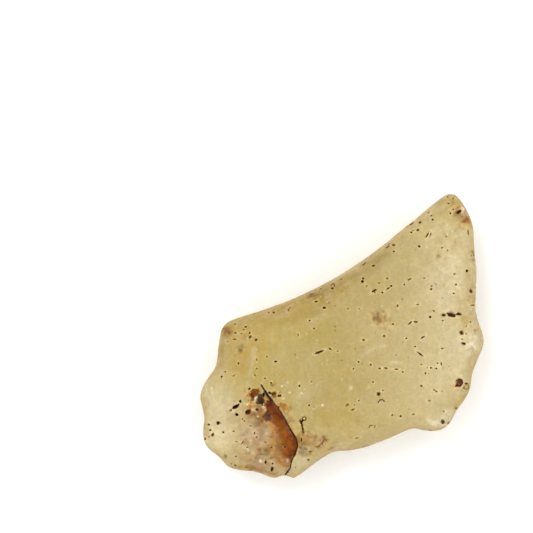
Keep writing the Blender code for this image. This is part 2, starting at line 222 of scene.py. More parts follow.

# Open pits that the solid has already, and only take their tone here: (u, v, length, width, heading).
# Their darkness is dirt and, in the hollows, painted shade.
OPEN_PITS = {
    "black": [
        (235.6, 406.8, 7.4, 3.3, 25), (236.8, 414.5, 3.4, 2.6, -38), (218.2, 423.1, 2.9, 2.9, 0),
        (272.1, 468.9, 4.2, 2.3, 70), (319, 352.3, 8.6, 2, 22), (362.3, 281.5, 2.6, 2.6, 0),
        (374.2, 290.7, 4.4, 1.5, 30), (256, 339.8, 2.5, 2.2, 0), (463.6, 343.6, 3.6, 2.3, 170),
        (459.2, 211.6, 6, 2.6, 35),
    ],
    "brown": [
        (301.6, 421.6, 4.4, 2, 60), (378.5, 394, 3.6, 3.6, 0), (250.3, 337, 3.4, 2, 50),
        (470.7, 291.4, 3.5, 3.3, 0), (279.9, 395.5, 4.2, 2.8, 20),
    ],
    "umber": [
        (461.4, 332.6, 3.9, 3.2, 130), (212.6, 434.8, 3.6, 2.6, 60), (248.2, 412.2, 6.4, 4.6, 30),
        (273.6, 393.6, 5.4, 3.8, 10),
    ],
    "redbrown": [(252.6, 395.6, 6.5, 3.6, 100)],
    "garnet": [(459.3, 382.8, 8.6, 7.2, 75)],
    "dusk": [(260.8, 399.6, 10.6, 6.8, 98)],
    "sienna": [
        (451, 314.8, 8.4, 4, 168), (443.6, 315.1, 3.4, 2.4, 0), (458.7, 314.1, 5.2, 2.7, 172),
    ],
    "soot": [(442.6, 421.6, 4.6, 3.6, 90)],
}

# Small pits that are carved here, by their tone: (u, v, length, width, heading). Their darkness is dirt
# and, in the hollows, painted shade.
SMALL_PITS = {
    "black": [
        (263.7, 394.7, 4.8, 2.5, 100), (269.7, 392.8, 3.4, 2.3, 170), (249.3, 388.9, 2.8, 2.1, 35),
        (240.2, 401.5, 3.2, 2.4, 90), (208.7, 424.7, 2.1, 2, 0), (223.2, 432.4, 2.1, 2, 0),
        (265.5, 462.4, 3.6, 1.9, 90), (284.9, 446.9, 2.1, 1.7, 0), (278.7, 407.3, 2, 1.5, 45),
        (299.5, 385.8, 2.6, 1.9, 90), (301.4, 440, 4.4, 1.3, 90), (308.4, 460, 1.8, 1.6, 0),
        (330.3, 349, 2.8, 1.7, -30), (358.4, 361.9, 2, 1.9, 0), (385.8, 368.1, 3.8, 1.4, -15),
        (402.7, 371.9, 2, 1.6, -20), (314, 328.5, 2.2, 1.4, 0), (309.6, 320.6, 2.2, 1.6, 0),
        (324, 307.6, 2.8, 2.4, 0), (363.1, 278.4, 2.8, 1.9, 10), (373.6, 265.9, 3.2, 1.9, 20),
        (393.5, 244.8, 3.2, 1.8, -15), (393.7, 251.3, 2, 1.8, 0), (332.2, 288.2, 2.6, 2.2, 0),
        (316.1, 301.7, 3.4, 1.8, 15), (391.4, 286.1, 2.2, 1.8, 0), (388.1, 288.5, 3.2, 1.4, 30),
        (382.5, 292.4, 2, 1.8, 0), (273.8, 312.5, 2.4, 1.9, 0), (275.6, 361.5, 2.9, 2, 10),
        (221.5, 376.7, 1.9, 1.8, 0), (238.3, 363.5, 2.5, 1.6, 100), (245.4, 326.8, 2.2, 2, 0),
        (450.6, 213.1, 2.1, 1.7, 90), (453.3, 209.4, 2, 1.5, 0), (411.8, 223.8, 4.4, 1.3, 35),
        (420, 222.5, 3, 2.2, 10), (418, 230, 3, 2, 15), (411.1, 232.4, 2.4, 1.8, 0),
        (432.6, 219.7, 2, 1.7, 0), (431.2, 215.5, 2, 1.7, 0), (419.2, 246.1, 2.4, 2.2, 0),
        (466.8, 270.9, 2.8, 2.6, 0), (431.2, 289.2, 2.2, 2, 0), (429.9, 317, 2.6, 2.2, 0),
        (417.6, 304.5, 2.8, 1.2, 0), (422.7, 337.5, 4.3, 1.4, 33), (406.3, 338.4, 2.2, 1.3, 20),
        (420.1, 353.9, 7, 1.5, -36), (441.3, 363.9, 2.9, 1.4, 100), (431, 367.9, 2.1, 1.6, 0),
        (436.2, 368.5, 2.6, 1.4, -10), (425.5, 373.4, 2, 1.7, 0), (466.6, 383.4, 3.6, 1.6, -5),
        (456.4, 386.1, 3, 1.8, 30), (210.2, 430.2, 2.1, 2, 0), (271.2, 382.8, 1.8, 1.6, 0),
        (246.4, 412.2, 2, 2.6, 20), (238.5, 404.4, 2.8, 1.6, 50),
    ],
    "brown": [
        (437.6, 363.1, 1.8, 1.4, 0), (205.1, 438.8, 2.3, 1.8, 60), (272.6, 463.5, 2.1, 1.7, 60),
        (271.5, 447.4, 1.9, 1.4, 0), (309.1, 405.4, 2.2, 2, 0), (353.5, 368.8, 1.6, 1.6, 0),
        (370.8, 364.8, 2.3, 1.6, -50), (379.8, 368.4, 2.2, 1.6, 0), (396.6, 369.3, 3.4, 1.4, -5),
        (358.8, 400.6, 2, 1.4, 90), (392.4, 415, 2, 1.6, 0), (400.7, 416.4, 2.6, 2, 0),
        (392.7, 324.1, 2.2, 1.8, 0), (397.7, 305.9, 3.2, 1.6, 90), (379, 283.1, 1.6, 1.6, 0),
        (404.4, 284.5, 1.8, 1.7, 0), (249.7, 332.8, 2.2, 1.7, 60), (234.4, 339.3, 3.4, 1.4, 0),
        (235.3, 332.8, 2.4, 1.8, 10), (222.6, 329, 2, 1.6, 60), (448.6, 203.2, 2, 1.4, 0),
        (427.4, 235, 6, 1.5, 60), (468.2, 232.7, 5.6, 1.3, 95), (430.6, 234.3, 4.2, 1, 65),
        (456.3, 284.5, 2, 1.8, 0), (454, 293.6, 2.2, 1.8, 0), (409.9, 323, 5.2, 1.7, 36),
        (415.8, 321.9, 4.3, 1.8, -8), (433.8, 310.8, 2, 1.4, -30), (415.2, 346.6, 2, 1.6, 0),
        (256.9, 409.7, 3.6, 2.4, 10), (436.2, 391.2, 2.8, 1.4, -22), (448.6, 423.4, 1.8, 1.7, 0),
        (303.2, 428.6, 1.5, 1.5, 0), (442.8, 320.6, 2, 1.5, 0), (374.9, 292.8, 1.5, 1.2, 0),
        (447.4, 313.2, 1.8, 1.5, 0), (454.4, 316.4, 2.4, 1.8, 0),
    ],
    "umber": [
        (254.4, 433.4, 2.6, 1.4, 70), (256.6, 437.2, 2, 1.5, 0), (310.2, 451.6, 3, 1.3, -10),
        (242.3, 442.7, 4, 1.2, 55),
    ],
    "caramel": [
        (230.6, 410.3, 2.7, 2.4, 0), (347.2, 405, 3.8, 2.3, 30), (352.8, 409.6, 4, 2, 20),
        (354.5, 405, 1.6, 1.4, 0), (357, 438.2, 3.4, 1.6, 20), (413.5, 414.3, 2.5, 1.5, 0),
        (363.5, 339.9, 3.2, 2, 0), (384.1, 335.8, 2.7, 2.5, 0), (348, 308.8, 2.1, 1.6, 0),
        (359, 308.8, 2, 1.4, 0), (366.8, 285.7, 2, 1.6, 0), (446.1, 236.4, 2, 1.6, 0),
        (472.7, 305.2, 4.4, 1.5, -5), (387.5, 278.5, 2.4, 1.8, 0), (290, 308, 1.8, 1.3, 20),
        (266.8, 356.7, 1.8, 1.8, 0), (409.6, 279.3, 4, 1.7, 25), (454.3, 274.1, 2.4, 1.9, 0),
        (431.5, 286.1, 2.2, 2, 0), (471.6, 255.8, 1.6, 1, 60), (456.4, 408.2, 2.6, 2.2, 0),
        (442.5, 348.4, 3.2, 1.6, 0), (433.9, 390, 2.3, 1.6, 0), (256.7, 368.6, 2, 1.6, 0),
        (254.8, 375.3, 2.2, 1.6, 60), (247, 447.4, 2, 1.6, 0), (246.7, 467.4, 2.6, 1.8, 0),
    ],
    "olive": [
        (242.4, 419, 2.2, 1.7, 60), (244.3, 421, 1.7, 1.3, 0), (250.5, 426, 1.8, 1.5, 0),
        (265.4, 442.3, 2, 1.5, 0), (236, 456.4, 2, 1.8, 0), (231.3, 463.8, 1.6, 1.3, 0),
        (235.2, 465.5, 2.3, 1.9, 0), (209.1, 436.9, 1.8, 1.3, 50), (233.3, 431.4, 2.4, 1.4, 0),
        (236.6, 441.4, 2.2, 1.1, 0), (268.7, 312.7, 2.2, 1.8, 0), (288.4, 309.8, 3, 1.7, 90),
        (243.8, 329.3, 2.2, 1.6, -20), (235.3, 323.9, 2, 1.6, 30), (241.3, 333.6, 1.8, 1.4, 0),
        (227.6, 341.7, 1.7, 1.4, 0), (233.7, 375.6, 3.2, 1.6, 35), (224.8, 371.8, 2.4, 1.6, 0),
        (264.9, 378.3, 2.6, 1.8, 10), (256.5, 359.6, 2.6, 1.4, 90), (298.2, 335, 2.6, 1.4, 100),
        (337.8, 351.2, 2, 1.4, 0), (373, 382, 2.2, 1.8, 0), (311.5, 381.7, 1.8, 1.5, 0),
        (382.9, 390.3, 1.8, 1.4, 0), (453.3, 198.4, 2, 1.5, 0), (428.5, 212.5, 1.8, 1.5, 0),
        (447.4, 250.3, 1.7, 1.5, 0), (424.5, 278.1, 1.7, 1.3, 0), (421.2, 364.5, 1.7, 1.3, 0),
        (427.3, 367.4, 1.5, 1.3, 0), (466.3, 334, 1.8, 1.4, 0), (412.7, 230.6, 1.7, 1.3, 0),
        (442.1, 247.6, 2, 1.7, 0), (429.4, 400.9, 2.6, 1.5, 0), (421.4, 385.8, 2.6, 2.2, 0),
        (447.7, 196.9, 1.8, 1.5, 0), (443.8, 411.4, 1.8, 1.4, 0), (466.5, 326, 1.7, 1.4, 0),
        (470.4, 322.1, 1.8, 1.5, 0), (462.2, 339.2, 2, 1.4, -20), (463.8, 388, 2.4, 1.4, -30),
    ],
}
# How deep a small pit is, as a share of its width.
PIT_DEPTH_OF_WIDTH = 0.6
# A pit's uneven outline: how uneven, and its noise's patches as a share of its width, and pixels more.
PIT_NOISE = (0.45, 0.6, 0.5)
# Where a pit's tone ends and how softly, where 1 is the outline in the table. So are the edges below.
PIT_EDGE = (1.2, 0.35)

# The pale ring round a pit, in pixels: how far off it lies, its reach each way, and its strength.
PALE_RING = (0.8, 0.6, 0.35)
# The amber fringe, in pixels: its strength, how far off it ends and how softly, how far it leans to one
# side, and how many radians farther round it leans from one pit to the next.
FRINGE = 0.52
FRINGE_EDGE = (0.7, 0.5)
FRINGE_ASIDE = 0.6
FRINGE_TURN = 2.4
# Rust, milk and the dirt round the cavities at the ledge's head (u, v, reach) hide most of those two.
DIRT = (258, 402, 13)
MILK_HIDES = 1.45
MOST_HIDDEN = 0.85

# The ledge's line, from the cavities at its head down to the notch in the rim. Its dark tone is stain
# and painted shade in the gap at the foot of the higher side.
LEDGE = [
    (261.2, 385), (265.2, 391.3), (268.4, 396.4), (272.2, 400.8), (278.4, 407.8), (285, 418.4),
    (290.9, 429.9), (296.6, 438.9), (297.7, 445.4), (295.3, 453.6), (291.4, 461.1), (290.2, 468.2),
    (285.6, 474.4),
]
CRACK_EDGE = (1.7, 1)
# The ledge, the forked crack and the edges of burst bubbles: (tone, width, depth in mm, points). The
# ledge's dark tone is stain and painted shade in its gap.
CRACKS = [
    ("black", 1.4, 0.12, LEDGE[:2]), ("black", 2.2, 0.16, LEDGE[1:4]), ("brown", 0.95, 0.1, LEDGE[3:7]),
    ("brown", 1.1, 0.1, LEDGE[6:10]), ("sienna", 1.25, 0.12, LEDGE[9:]),
    ("black", 1.6, 0.14, [(303, 420.4), (301.5, 422.2), (302, 425.2)]),
    ("brown", 1.5, 0.12, [(302, 425.2), (302.7, 429), (303.3, 432.6)]),
    ("brown", 1.5, 0.1, [(301.4, 421.8), (299.9, 420.6)]),
    ("brown", 1.1, 0.08, [(303, 420.4), (304.6, 420.6), (305.6, 419.6)]),
    ("caramel", 1.3, 0.06, [(305.6, 419.8), (306.2, 418.4), (304.9, 416.7), (303, 417.4)]),
    ("umber", 0.9, 0.06, [(303, 417.4), (302.4, 419), (303, 420.4)]),
    ("brown", 1.1, 0.1, [(378.2, 402.4), (379.7, 400.2), (382.2, 399.6), (384.3, 401.2)]),
    ("olive", 1.1, 0.08, [(369, 427.4), (370.4, 425.4), (372.6, 425.4)]),
    ("olive", 1, 0.08, [(374.6, 427.6), (375.2, 425.6)]),
    ("brown", 1, 0.08, [(331.2, 285.8), (332.6, 283.6), (334.6, 284.6), (334.2, 286.6)]),
    ("olive", 0.9, 0.06, [(464, 387), (466.1, 384.6), (468.7, 385.4), (468.8, 388.2), (466.2, 389.4)]),
    ("olive", 0.9, 0.06, [(466.2, 389.4), (464.2, 388.8)]),
    ("brown", 0.9, 0.05, [(262.5, 404.8), (263.2, 403.2), (264.9, 403.2), (265.4, 404.6), (264.2, 405.5)]),
    ("russet", 0.7, 0.04, [(245.6, 466.6), (246.6, 465.4), (248, 466.2), (247.8, 467.6)]),
    ("russet", 1, 0.03, [(316.4, 446.4), (320.2, 446), (322.4, 442.8)]),
    ("umber", 0.9, 0.04, [(319, 446.2), (321, 445), (322.4, 442.8), (323.6, 440.4)]),
    ("russet", 0.8, 0.03, [(323.6, 440.2), (325.8, 440), (327.2, 442.8)]),
    ("sienna", 0.9, 0.06, [(456.2, 380.6), (458.6, 379), (461.6, 380.4), (462.8, 383), (460.4, 386.2)]),
]

# A cloud's noise: how patchy, how many patches across, and the least and greatest size of a patch.
CLOUD_NOISE = (1.1, 3, 1.2, 2.4)
# Soft clouds of dirt in the glass, which only tint it: (u, v, length, width, heading, tone, strength).
CLOUDS = [
    (226.6, 331.4, 13, 13, 0, "russet", 0.95), (226.8, 331.6, 10, 9, 0, "umber", 0.38),
    (240.6, 350.4, 8, 9, 60, "moss", 1), (240.4, 350.8, 4, 4, 60, "soot", 0.15),
    (242.8, 345.8, 5, 6, 70, "moss", 0.55), (239.6, 353.6, 5, 4, 0, "sepia", 0.5),
    (246.6, 337, 10, 8, 60, "sepia", 0.35), (379, 317.6, 24, 18, 10, "sepia", 0.85),
    (375.6, 319.6, 8, 6, 30, "russet", 0.5), (380.8, 322, 8, 5, 0, "russet", 0.4),
    (384.4, 315.6, 6, 5, 80, "russet", 0.35), (373.2, 313.8, 6, 4, 0, "moss", 0.4),
    (311.8, 295.6, 11, 6, 15, "russet", 0.95), (311.6, 295.2, 7, 4, 15, "umber", 0.35),
    (317, 296.6, 14, 7, 20, "moss", 0.55), (225.6, 456, 5, 5, 0, "moss", 0.95),
    (302.4, 438, 17, 16, 0, "sepia", 1), (300.2, 441.6, 8, 8, 0, "russet", 0.75),
    (306, 441.2, 9, 7, 0, "russet", 0.45), (301.6, 446.4, 10, 7, 150, "slate", 0.75),
    (301.2, 448, 5, 4, 0, "soot", 0.6), (305.4, 449.2, 6, 3.6, 0, "soot", 0.7),
    (304.6, 453.4, 14, 9, 0, "sepia", 0.6), (303.6, 436.6, 14, 12, 0, "sepia", 0.35),
    (460.6, 214.8, 9, 8, 130, "russet", 0.4), (456.4, 211.6, 5, 4, 0, "sepia", 0.5),
    (469, 225, 8, 10, 110, "sepia", 0.35), (298.6, 449, 5, 9, 10, "slate", 0.6),
    (261, 425.4, 14, 8, 30, "russet", 0.45), (301.8, 452.6, 10, 7, 0, "slate", 0.65),
    (312, 440, 30, 15, 0, "sepia", 0.45), (313.9, 437, 7, 6, 0, "russet", 0.85),
    (309, 437.6, 6, 5, 0, "russet", 0.35), (317.4, 446.8, 12, 5, 10, "russet", 0.75),
    (309.6, 444, 9, 5, 10, "russet", 0.45), (324.9, 438.8, 6, 9, 30, "russet", 0.85),
    (321.2, 443.9, 9, 5, 52, "russet", 0.9), (309.9, 451.6, 6, 3, 0, "russet", 0.8),
    (331.4, 448.6, 8, 4.4, 25, "russet", 0.9), (466.6, 220.8, 8, 8, 135, "rust", 0.95),
    (463.4, 222, 6, 4, 170, "russet", 0.85), (467.8, 217.4, 4, 4, 120, "russet", 0.9),
    (461, 216.6, 9, 5, 150, "russet", 0.55), (457.6, 208, 6, 4, 30, "orange", 0.9),
    (455.4, 212.6, 6, 3, 30, "russet", 0.55), (472.8, 252.4, 5, 6, 90, "ochre", 0.55),
    (473.6, 259.6, 4, 7, 90, "ochre", 0.5), (437.9, 256.2, 5, 4, 0, "ochre", 0.5),
    (283.4, 406, 13, 8, 160, "syrup", 0.92), (287.6, 408.2, 10, 7, 160, "amber", 0.75),
    (273.8, 396.6, 4, 6, 100, "orange", 0.9), (280.3, 392.6, 3.4, 5, 90, "orange", 0.75),
    (271.9, 385, 6, 9, 110, "ochre", 0.85), (272.8, 396.8, 5, 3.6, 20, "ochre", 0.65),
    (266.4, 398, 5, 6, 120, "orange", 0.6), (453.9, 386.2, 5, 5, 0, "orange", 0.85),
    (475.8, 330.2, 8, 4.5, 20, "orange", 0.6), (454.6, 243.4, 6, 5, 0, "sepia", 0.45),
    (457, 214.2, 10, 7, 30, "russet", 0.6), (452, 203, 14, 9, 20, "sepia", 0.4),
    (460, 226, 14, 9, 20, "sepia", 0.4), (464, 206, 6, 12, 40, "sepia", 0.4),
    (446, 240, 16, 12, 0, "sepia", 0.22), (448.4, 422.4, 5, 3, 0, "russet", 0.8),
    (456.3, 408.4, 4, 4, 0, "russet", 0.8), (262, 420.6, 9, 7, 35, "moss", 0.75),
    (260.8, 410, 6, 8, 90, "caramel", 0.6), (275, 396.6, 5, 4, 20, "ochre", 0.7),
    (247, 452.6, 9, 7, 0, "russet", 0.45), (291.6, 419.6, 36, 9, -58, "copper", 0.34),
    (250.6, 409.2, 7, 8, 0, "copper", 0.8), (254.6, 415.6, 13, 8, 0, "copper", 0.65),
    (258.4, 406.8, 9, 5, 0, "russet", 0.6), (261.2, 413.8, 9, 8, 0, "copper", 0.65),
    (258.4, 418.6, 10, 6, 20, "russet", 0.6), (262.4, 406, 5, 5, 0, "copper", 0.5),
    (246.6, 439, 16, 18, 0, "copper", 0.24), (262, 441, 14, 10, 0, "copper", 0.14),
    (249, 468.4, 22, 5, 170, "copper", 0.6), (262, 471.2, 16, 4, 165, "copper", 0.4),
    (275, 474.6, 14, 4, 165, "copper", 0.4), (258, 449.6, 10, 7, 0, "russet", 0.35),
    (284.6, 412.6, 10, 5, 130, "sepia", 0.45), (289.4, 422.4, 10, 4, 125, "sepia", 0.45),
    (386, 324.4, 16, 12, -30, "sepia", 0.45), (258.6, 423.4, 8, 5, 35, "moss", 0.45),
    (266.6, 451.4, 12, 9, 90, "slate", 0.55), (270.4, 452.6, 8, 5, 30, "moss", 0.5),
    (265.6, 448.6, 6, 5, 60, "soot", 0.4), (260.4, 450.2, 7, 4, 0, "russet", 0.45),
    (260.2, 454.3, 8, 1.8, 0, "umber", 0.4), (269.8, 458.3, 8, 1.9, 16, "soot", 0.6),
    (266, 459.6, 3, 2, 60, "soot", 0.6), (253, 460.4, 12, 9, 130, "russet", 0.35),
    (245.4, 391.4, 6, 4, 60, "sepia", 0.45), (261.2, 410.6, 10, 7, 0, "russet", 0.55),
    (258.8, 392.6, 4, 3.4, 0, "orange", 0.65), (259.6, 392.4, 4, 4, 0, "copper", 0.45),
    (248, 395.4, 7, 5, 20, "orange", 0.6), (249.8, 406, 3.4, 5.4, 0, "orange", 0.9),
    (254.4, 404.6, 8, 6, 20, "russet", 0.5), (252.8, 414.6, 11, 6, 10, "russet", 0.55),
    (257.2, 410.4, 5, 4, 0, "russet", 0.7), (259.6, 413, 9, 8, 0, "russet", 0.4),
    (268.4, 426, 8, 6, 60, "russet", 0.45), (258.4, 448, 11, 8, 0, "russet", 0.5),
    (254, 456.4, 13, 7, 150, "russet", 0.35), (270.4, 456, 9, 7, 0, "russet", 0.35),
    (266, 446, 9, 8, 90, "russet", 0.3), (271.8, 437.1, 10, 3, 5, "orange", 0.75),
    (274.4, 431.7, 6.4, 4.4, 5, "rust", 0.85), (271, 426, 10, 6, 120, "amber", 0.45),
    (270, 447, 12, 8, 90, "russet", 0.35), (272, 442, 6, 5, 40, "orange", 0.3),
    (279.4, 459.6, 2.6, 8, 0, "umber", 0.55), (281.4, 458.6, 9, 8, 0, "russet", 0.5),
    (283.2, 465, 6, 6, 0, "rust", 0.55), (285.6, 470, 8, 7, 60, "copper", 0.5),
    (274, 474, 20, 5, 0, "russet", 0.35), (255, 467.6, 30, 4, 165, "russet", 0.35),
    (246.8, 466.8, 4, 3, 0, "orange", 0.7), (369, 386.2, 4, 7, 0, "amber", 0.35),
    (256.2, 368.6, 7, 14, 80, "russet", 0.2),
]

# A patch's uneven edge: how uneven, and the size of the noise's patches.
PATCH_NOISE = (0.6, 2.2)
PATCH_LAYERS = 0.5
PATCH_EDGE = (1.25, 0.5)
# Dirt with a clear, uneven edge: (u, v, length, width, heading, tone, strength).
PATCHES = [
    (255.2, 390.4, 9.2, 5, 0, "rust", 0.95), (257.6, 391.6, 4, 3.6, 150, "redbrown", 0.7),
    (252.4, 394.4, 7.4, 6.4, 60, "redbrown", 0.9), (251.7, 402.4, 3.8, 5.6, 0, "peach", 0.75),
    (250, 406.2, 3.4, 3.2, 0, "orange", 0.75), (250.4, 401.4, 2.6, 6, 10, "orange", 0.75),
    (254.6, 406.8, 4.6, 3, 0, "orange", 0.35), (271.9, 384.6, 6.4, 2.8, 112, "ochre", 0.7),
    (466.6, 218.6, 6, 3, 118, "russet", 0.75), (464.5, 220.7, 5.6, 3.4, 20, "redbrown", 0.6),
    (457.6, 207.9, 4.6, 2.2, 25, "orange", 0.6), (248.8, 395.4, 4.4, 3, 30, "rust", 0.6),
    (252.9, 398.6, 4, 5, 0, "umber", 0.9), (256.6, 394.4, 4.6, 3.2, 150, "brown", 0.9),
    # The dark patches on this line and the next are dirt and painted shade in the cavity.
    (259.4, 397.2, 4.2, 4.6, 0, "slate", 0.75), (260.8, 395.2, 3.6, 2.6, 0, "brown", 0.75),
    (260.6, 403.2, 4.8, 2.4, 10, "sienna", 0.7), (258, 402.4, 3.6, 3.4, 20, "dusk", 0.85),
    (262.4, 397.6, 1.4, 4, 0, "olive", 0.5), (266.4, 397.8, 5, 3.4, 125, "amber", 0.7),
    (267.2, 416.6, 9.4, 8.8, 20, "plum", 0.9), (269.6, 419.4, 4.4, 3.4, 140, "slate", 0.35),
    (264.8, 413.8, 3.2, 2.8, 30, "slate", 0.4), (263, 419, 5, 4, 35, "umber", 0.55),
    (260.8, 421.4, 5, 3.6, 35, "russet", 0.6), (278.6, 406.9, 2.4, 1.8, 35, "brown", 0.9),
    (282.6, 405.2, 8, 4.4, 165, "syrup", 0.75), (286.2, 408, 5, 3, 160, "amber", 0.45),
    (274.2, 431.8, 5, 2.8, 5, "rust", 0.6), (274.8, 396.2, 4.6, 2.8, 30, "ochre", 0.55),
    (275.2, 438, 7, 13, 0, "copper", 0.16), (266.6, 452, 6.4, 8, 0, "moss", 0.45),
    (265.6, 450.6, 4, 4.6, 20, "soot", 0.28), (267.8, 454.8, 4, 3.4, 40, "soot", 0.24),
    (260, 449.2, 5.6, 4, 0, "mauve", 0.34), (260.4, 454.2, 6, 1.6, 0, "umber", 0.3),
    (271.2, 457.8, 5.4, 2.2, 10, "soot", 0.3), (281.8, 461, 5.6, 8, 0, "copper", 0.35),
    (281.9, 459.8, 2.6, 3.8, 0, "peach", 0.45), (283.6, 465, 4.6, 4, 0, "rust", 0.2),
    (467.6, 221.8, 5.4, 3.2, 150, "copper", 0.6),
]

# What the lobe's rust is made of, in wide, soft zones: (u, v, length, width, heading, tone, strength).
RUST_ZONES = [
    (269.5, 404, 14, 10, 110, "chestnut", 1), (275.5, 412, 20, 11, 125, "chestnut", 0.95),
    (270.6, 410, 5, 4, 120, "ginger", 0.6), (280.5, 430, 26, 11, 100, "ginger", 0.95),
    (280.6, 442, 22, 11, 95, "ochre", 0.62), (284, 436, 8, 8, 0, "ginger", 0.6),
    (271, 418.5, 8, 5, 120, "mauve", 0.35), (288.8, 431, 22, 3.6, -60, "mauve", 0.4),
    (290.4, 447, 14, 7, 75, "ginger", 0.55), (279.5, 419.5, 12, 8, 120, "chestnut", 0.45),
]

# The rust on the lobe: the left edges of its dark core and of its paler stain, from the top down,
# with how soft each edge is there, in pixels.
RUST_EDGE = [
    (272.6, 400, 1.5), (266.6, 400.4, 1.5), (265.8, 405, 2), (266.2, 410.5, 2.5), (266, 414.5, 3),
    (267.5, 420, 4), (272, 421.6, 4), (274.4, 424.5, 4), (276.4, 430, 9), (277.2, 437, 12),
    (278.8, 444, 14), (279.8, 451, 11), (283.2, 455.4, 6), (285.8, 459, 5), (291.8, 460, 4),
]
STAIN_EDGE = [
    (271.6, 399.6, 2), (264.6, 399.6, 2), (264.2, 409, 3), (262.4, 417, 5), (266.4, 424, 8), (269, 430, 11),
    (268.4, 440, 12), (267.4, 448, 11), (272, 455, 9), (275.6, 462, 8), (281, 467, 5), (291, 468, 4),
]

WHITE_EDGE = (1.4, 0.9)
# Small white spots: milky spots in the glass, and painted highlights, such as the glint in the cavity at
# (255.9, 398.5) and the one beside the black pit at (462.5, 208.8): (u, v, length, width, heading,
# strength).
WHITE_SPOTS_AND_HIGHLIGHTS = [
    # The first spot on this line is a painted highlight in the cavity.
    (255.9, 398.5, 6.4, 2.5, 65, 0.7), (263.6, 407.2, 3, 2.4, 0, 0.34), (265.4, 410, 1.8, 2.8, 0, 0.34),
    (247.3, 404.5, 2, 2.6, 0, 0.75), (244.6, 403.4, 2.2, 2, 0, 0.4), (257.7, 416.4, 2.2, 2, 0, 0.5),
    (253.2, 409.4, 4.6, 3.2, 0, 0.35), (263.9, 404.3, 1.5, 1.2, 0, 0.6), (260.4, 461.2, 2.6, 3.6, 0, 0.75),
    (246.8, 466.9, 1.6, 1.2, 30, 0.6), (206.7, 440.7, 2.6, 2, 60, 0.4), (287.5, 461, 2.4, 4.2, 0, 0.45),
    (301.3, 393.3, 2.9, 2.6, 0, 0.55), (289.6, 392.4, 2.6, 2.2, 0, 0.45), (281.8, 386.1, 2.6, 2.4, 0, 0.55),
    (287.6, 382.6, 2.2, 2, 0, 0.3), (283.4, 398.3, 3.4, 2.4, 0, 0.35), (322.6, 405.2, 3.4, 3, 0, 0.45),
    (351, 387.8, 4.4, 5, 0, 0.25), (313.2, 409, 2, 1.8, 0, 0.35), (304.5, 389, 2, 1.6, 0, 0.35),
    # The spot at (462.5, 208.8) on the next line is a painted highlight.
    (317, 384.5, 2, 2, 0, 0.3), (323.8, 309.4, 1.8, 1.4, 0, 0.35), (462.5, 208.8, 3.2, 4.4, 40, 0.85),
    (458, 393.2, 3.4, 2.2, 0, 0.45), (433.5, 423.7, 4, 2.8, 0, 0.6), (470.4, 309.2, 3.4, 2.6, 0, 0.4),
    (468.6, 326.6, 2.8, 2.4, 0, 0.4), (446.6, 234.4, 2.2, 2, 0, 0.35), (461, 376, 2.2, 2, 0, 0.4),
    (272, 381, 2.2, 1.6, 0, 0.3), (299, 449.6, 3.4, 1.2, -30, 0.4), (326.6, 443.3, 4, 1.2, -60, 0.45),
    (321, 445.6, 3, 1.2, 50, 0.4), (308.4, 449.2, 1.8, 1.4, 0, 0.35), (471.5, 343.3, 3.4, 3, 0, 0.45),
    (475.6, 337, 2, 2.4, 0, 0.4), (304.2, 418.6, 1.6, 1.5, 0, 0.3), (274.4, 431.8, 1.8, 1, 0, 0.35),
]

# The painted highlight right of the ledge, on the lit edge of its higher side: how far off it lies, how far
# it reaches each way, and its strength.
LEDGE_HIGHLIGHT = (1.5, 0.7, 0.6)

# The rim is where the normal points up or down less than RIM_SLOPE. Its tan band, painted shade of the
# rounded edge: how far in it reaches, its strength, and its patches (size in mm, mean, swing). The amber
# line on the rim, painted shade of its outline, likewise.
RIM_SLOPE = 0.12
RIM_SHADE_BAND = (3, 0.7, (4, 0.65, 1.3))
RIM_SHADE_LINE = (1.1, 0.75, (1.7, 0.6, 1.6))
RIM_SHADE_LINE_EDGE = (1.5, 1)

# Seeded pits and clouds of the sides and the underside, which the photograph doesn't show. They lie
# on faces that look up less than HIDDEN_SLOPE, and mark only points that look roughly the same way.
HIDDEN_SEED = 7
HIDDEN_SLOPE = 0.35
SAME_SIDE = 0.3
HIDDEN_PITS = 170
HIDDEN_SIZES = (1.6, 5)
HIDDEN_PIT_NOISE = (0.4, 0.45, 0.4)
HIDDEN_PIT_EDGE = (1.3, 0.5)
# Dirt and painted shade in the hollows.
HIDDEN_PIT_TONES = ("black", "brown", "olive", "brown")
# The clouds: size and reach in mm, noise (how patchy, size in mm), and tones with their strengths.
HIDDEN_CLOUDS = 26
HIDDEN_CLOUD_SIZE = 1.1
HIDDEN_CLOUD_REACH = 2.4
HIDDEN_CLOUD_NOISE = (1.3, 0.6)
HIDDEN_CLOUD_TONES = (("rust", 0.25), ("olive", 0.45), ("amber", 0.65))

# The glass's patterns: noise (size in mm, detail, distortion), and the range of it that counts, with
# what that range becomes, which is 0 to 1 where it isn't given.
PATTERNS = {
    "clouds": ((3.5, 4, 0.5), (0.42, 0.72)),
    "wisps": ((1.3, 5, 0.4), (0.46, 0.74)),
    "streaks": ((0.55, 4, 0), (0.3, 0.7, 0.97, 1.03)),
    "mottling": ((0.35, 4, 0.2), (0.3, 0.7, 0.93, 1.07)),
    "dapples": ((0.75, 5, 0.4), (0.34, 0.66, 0.74, 1.2)),
    "rust": ((0.65, 5, 0.6), (0.36, 0.64, 0.74, 1.32)),
    "grain": ((0.3, 3, 0), (0.3, 0.7, 0.65, 1.35)),
    "roughness": ((1.4, 3, 0), (0.3, 0.7, 0.4, 0.56)),
}
STREAK_STRETCH = (1, 0.14, 1)
BUMPS = (0.35, 4, 0.3)

# What is spread over the glass: (pattern, strength, colour).
SPREADS = [("clouds", 0.22, (0.86, 0.77, 0.5, 1)), ("wisps", 0.24, (0.88, 0.79, 0.52, 1))]
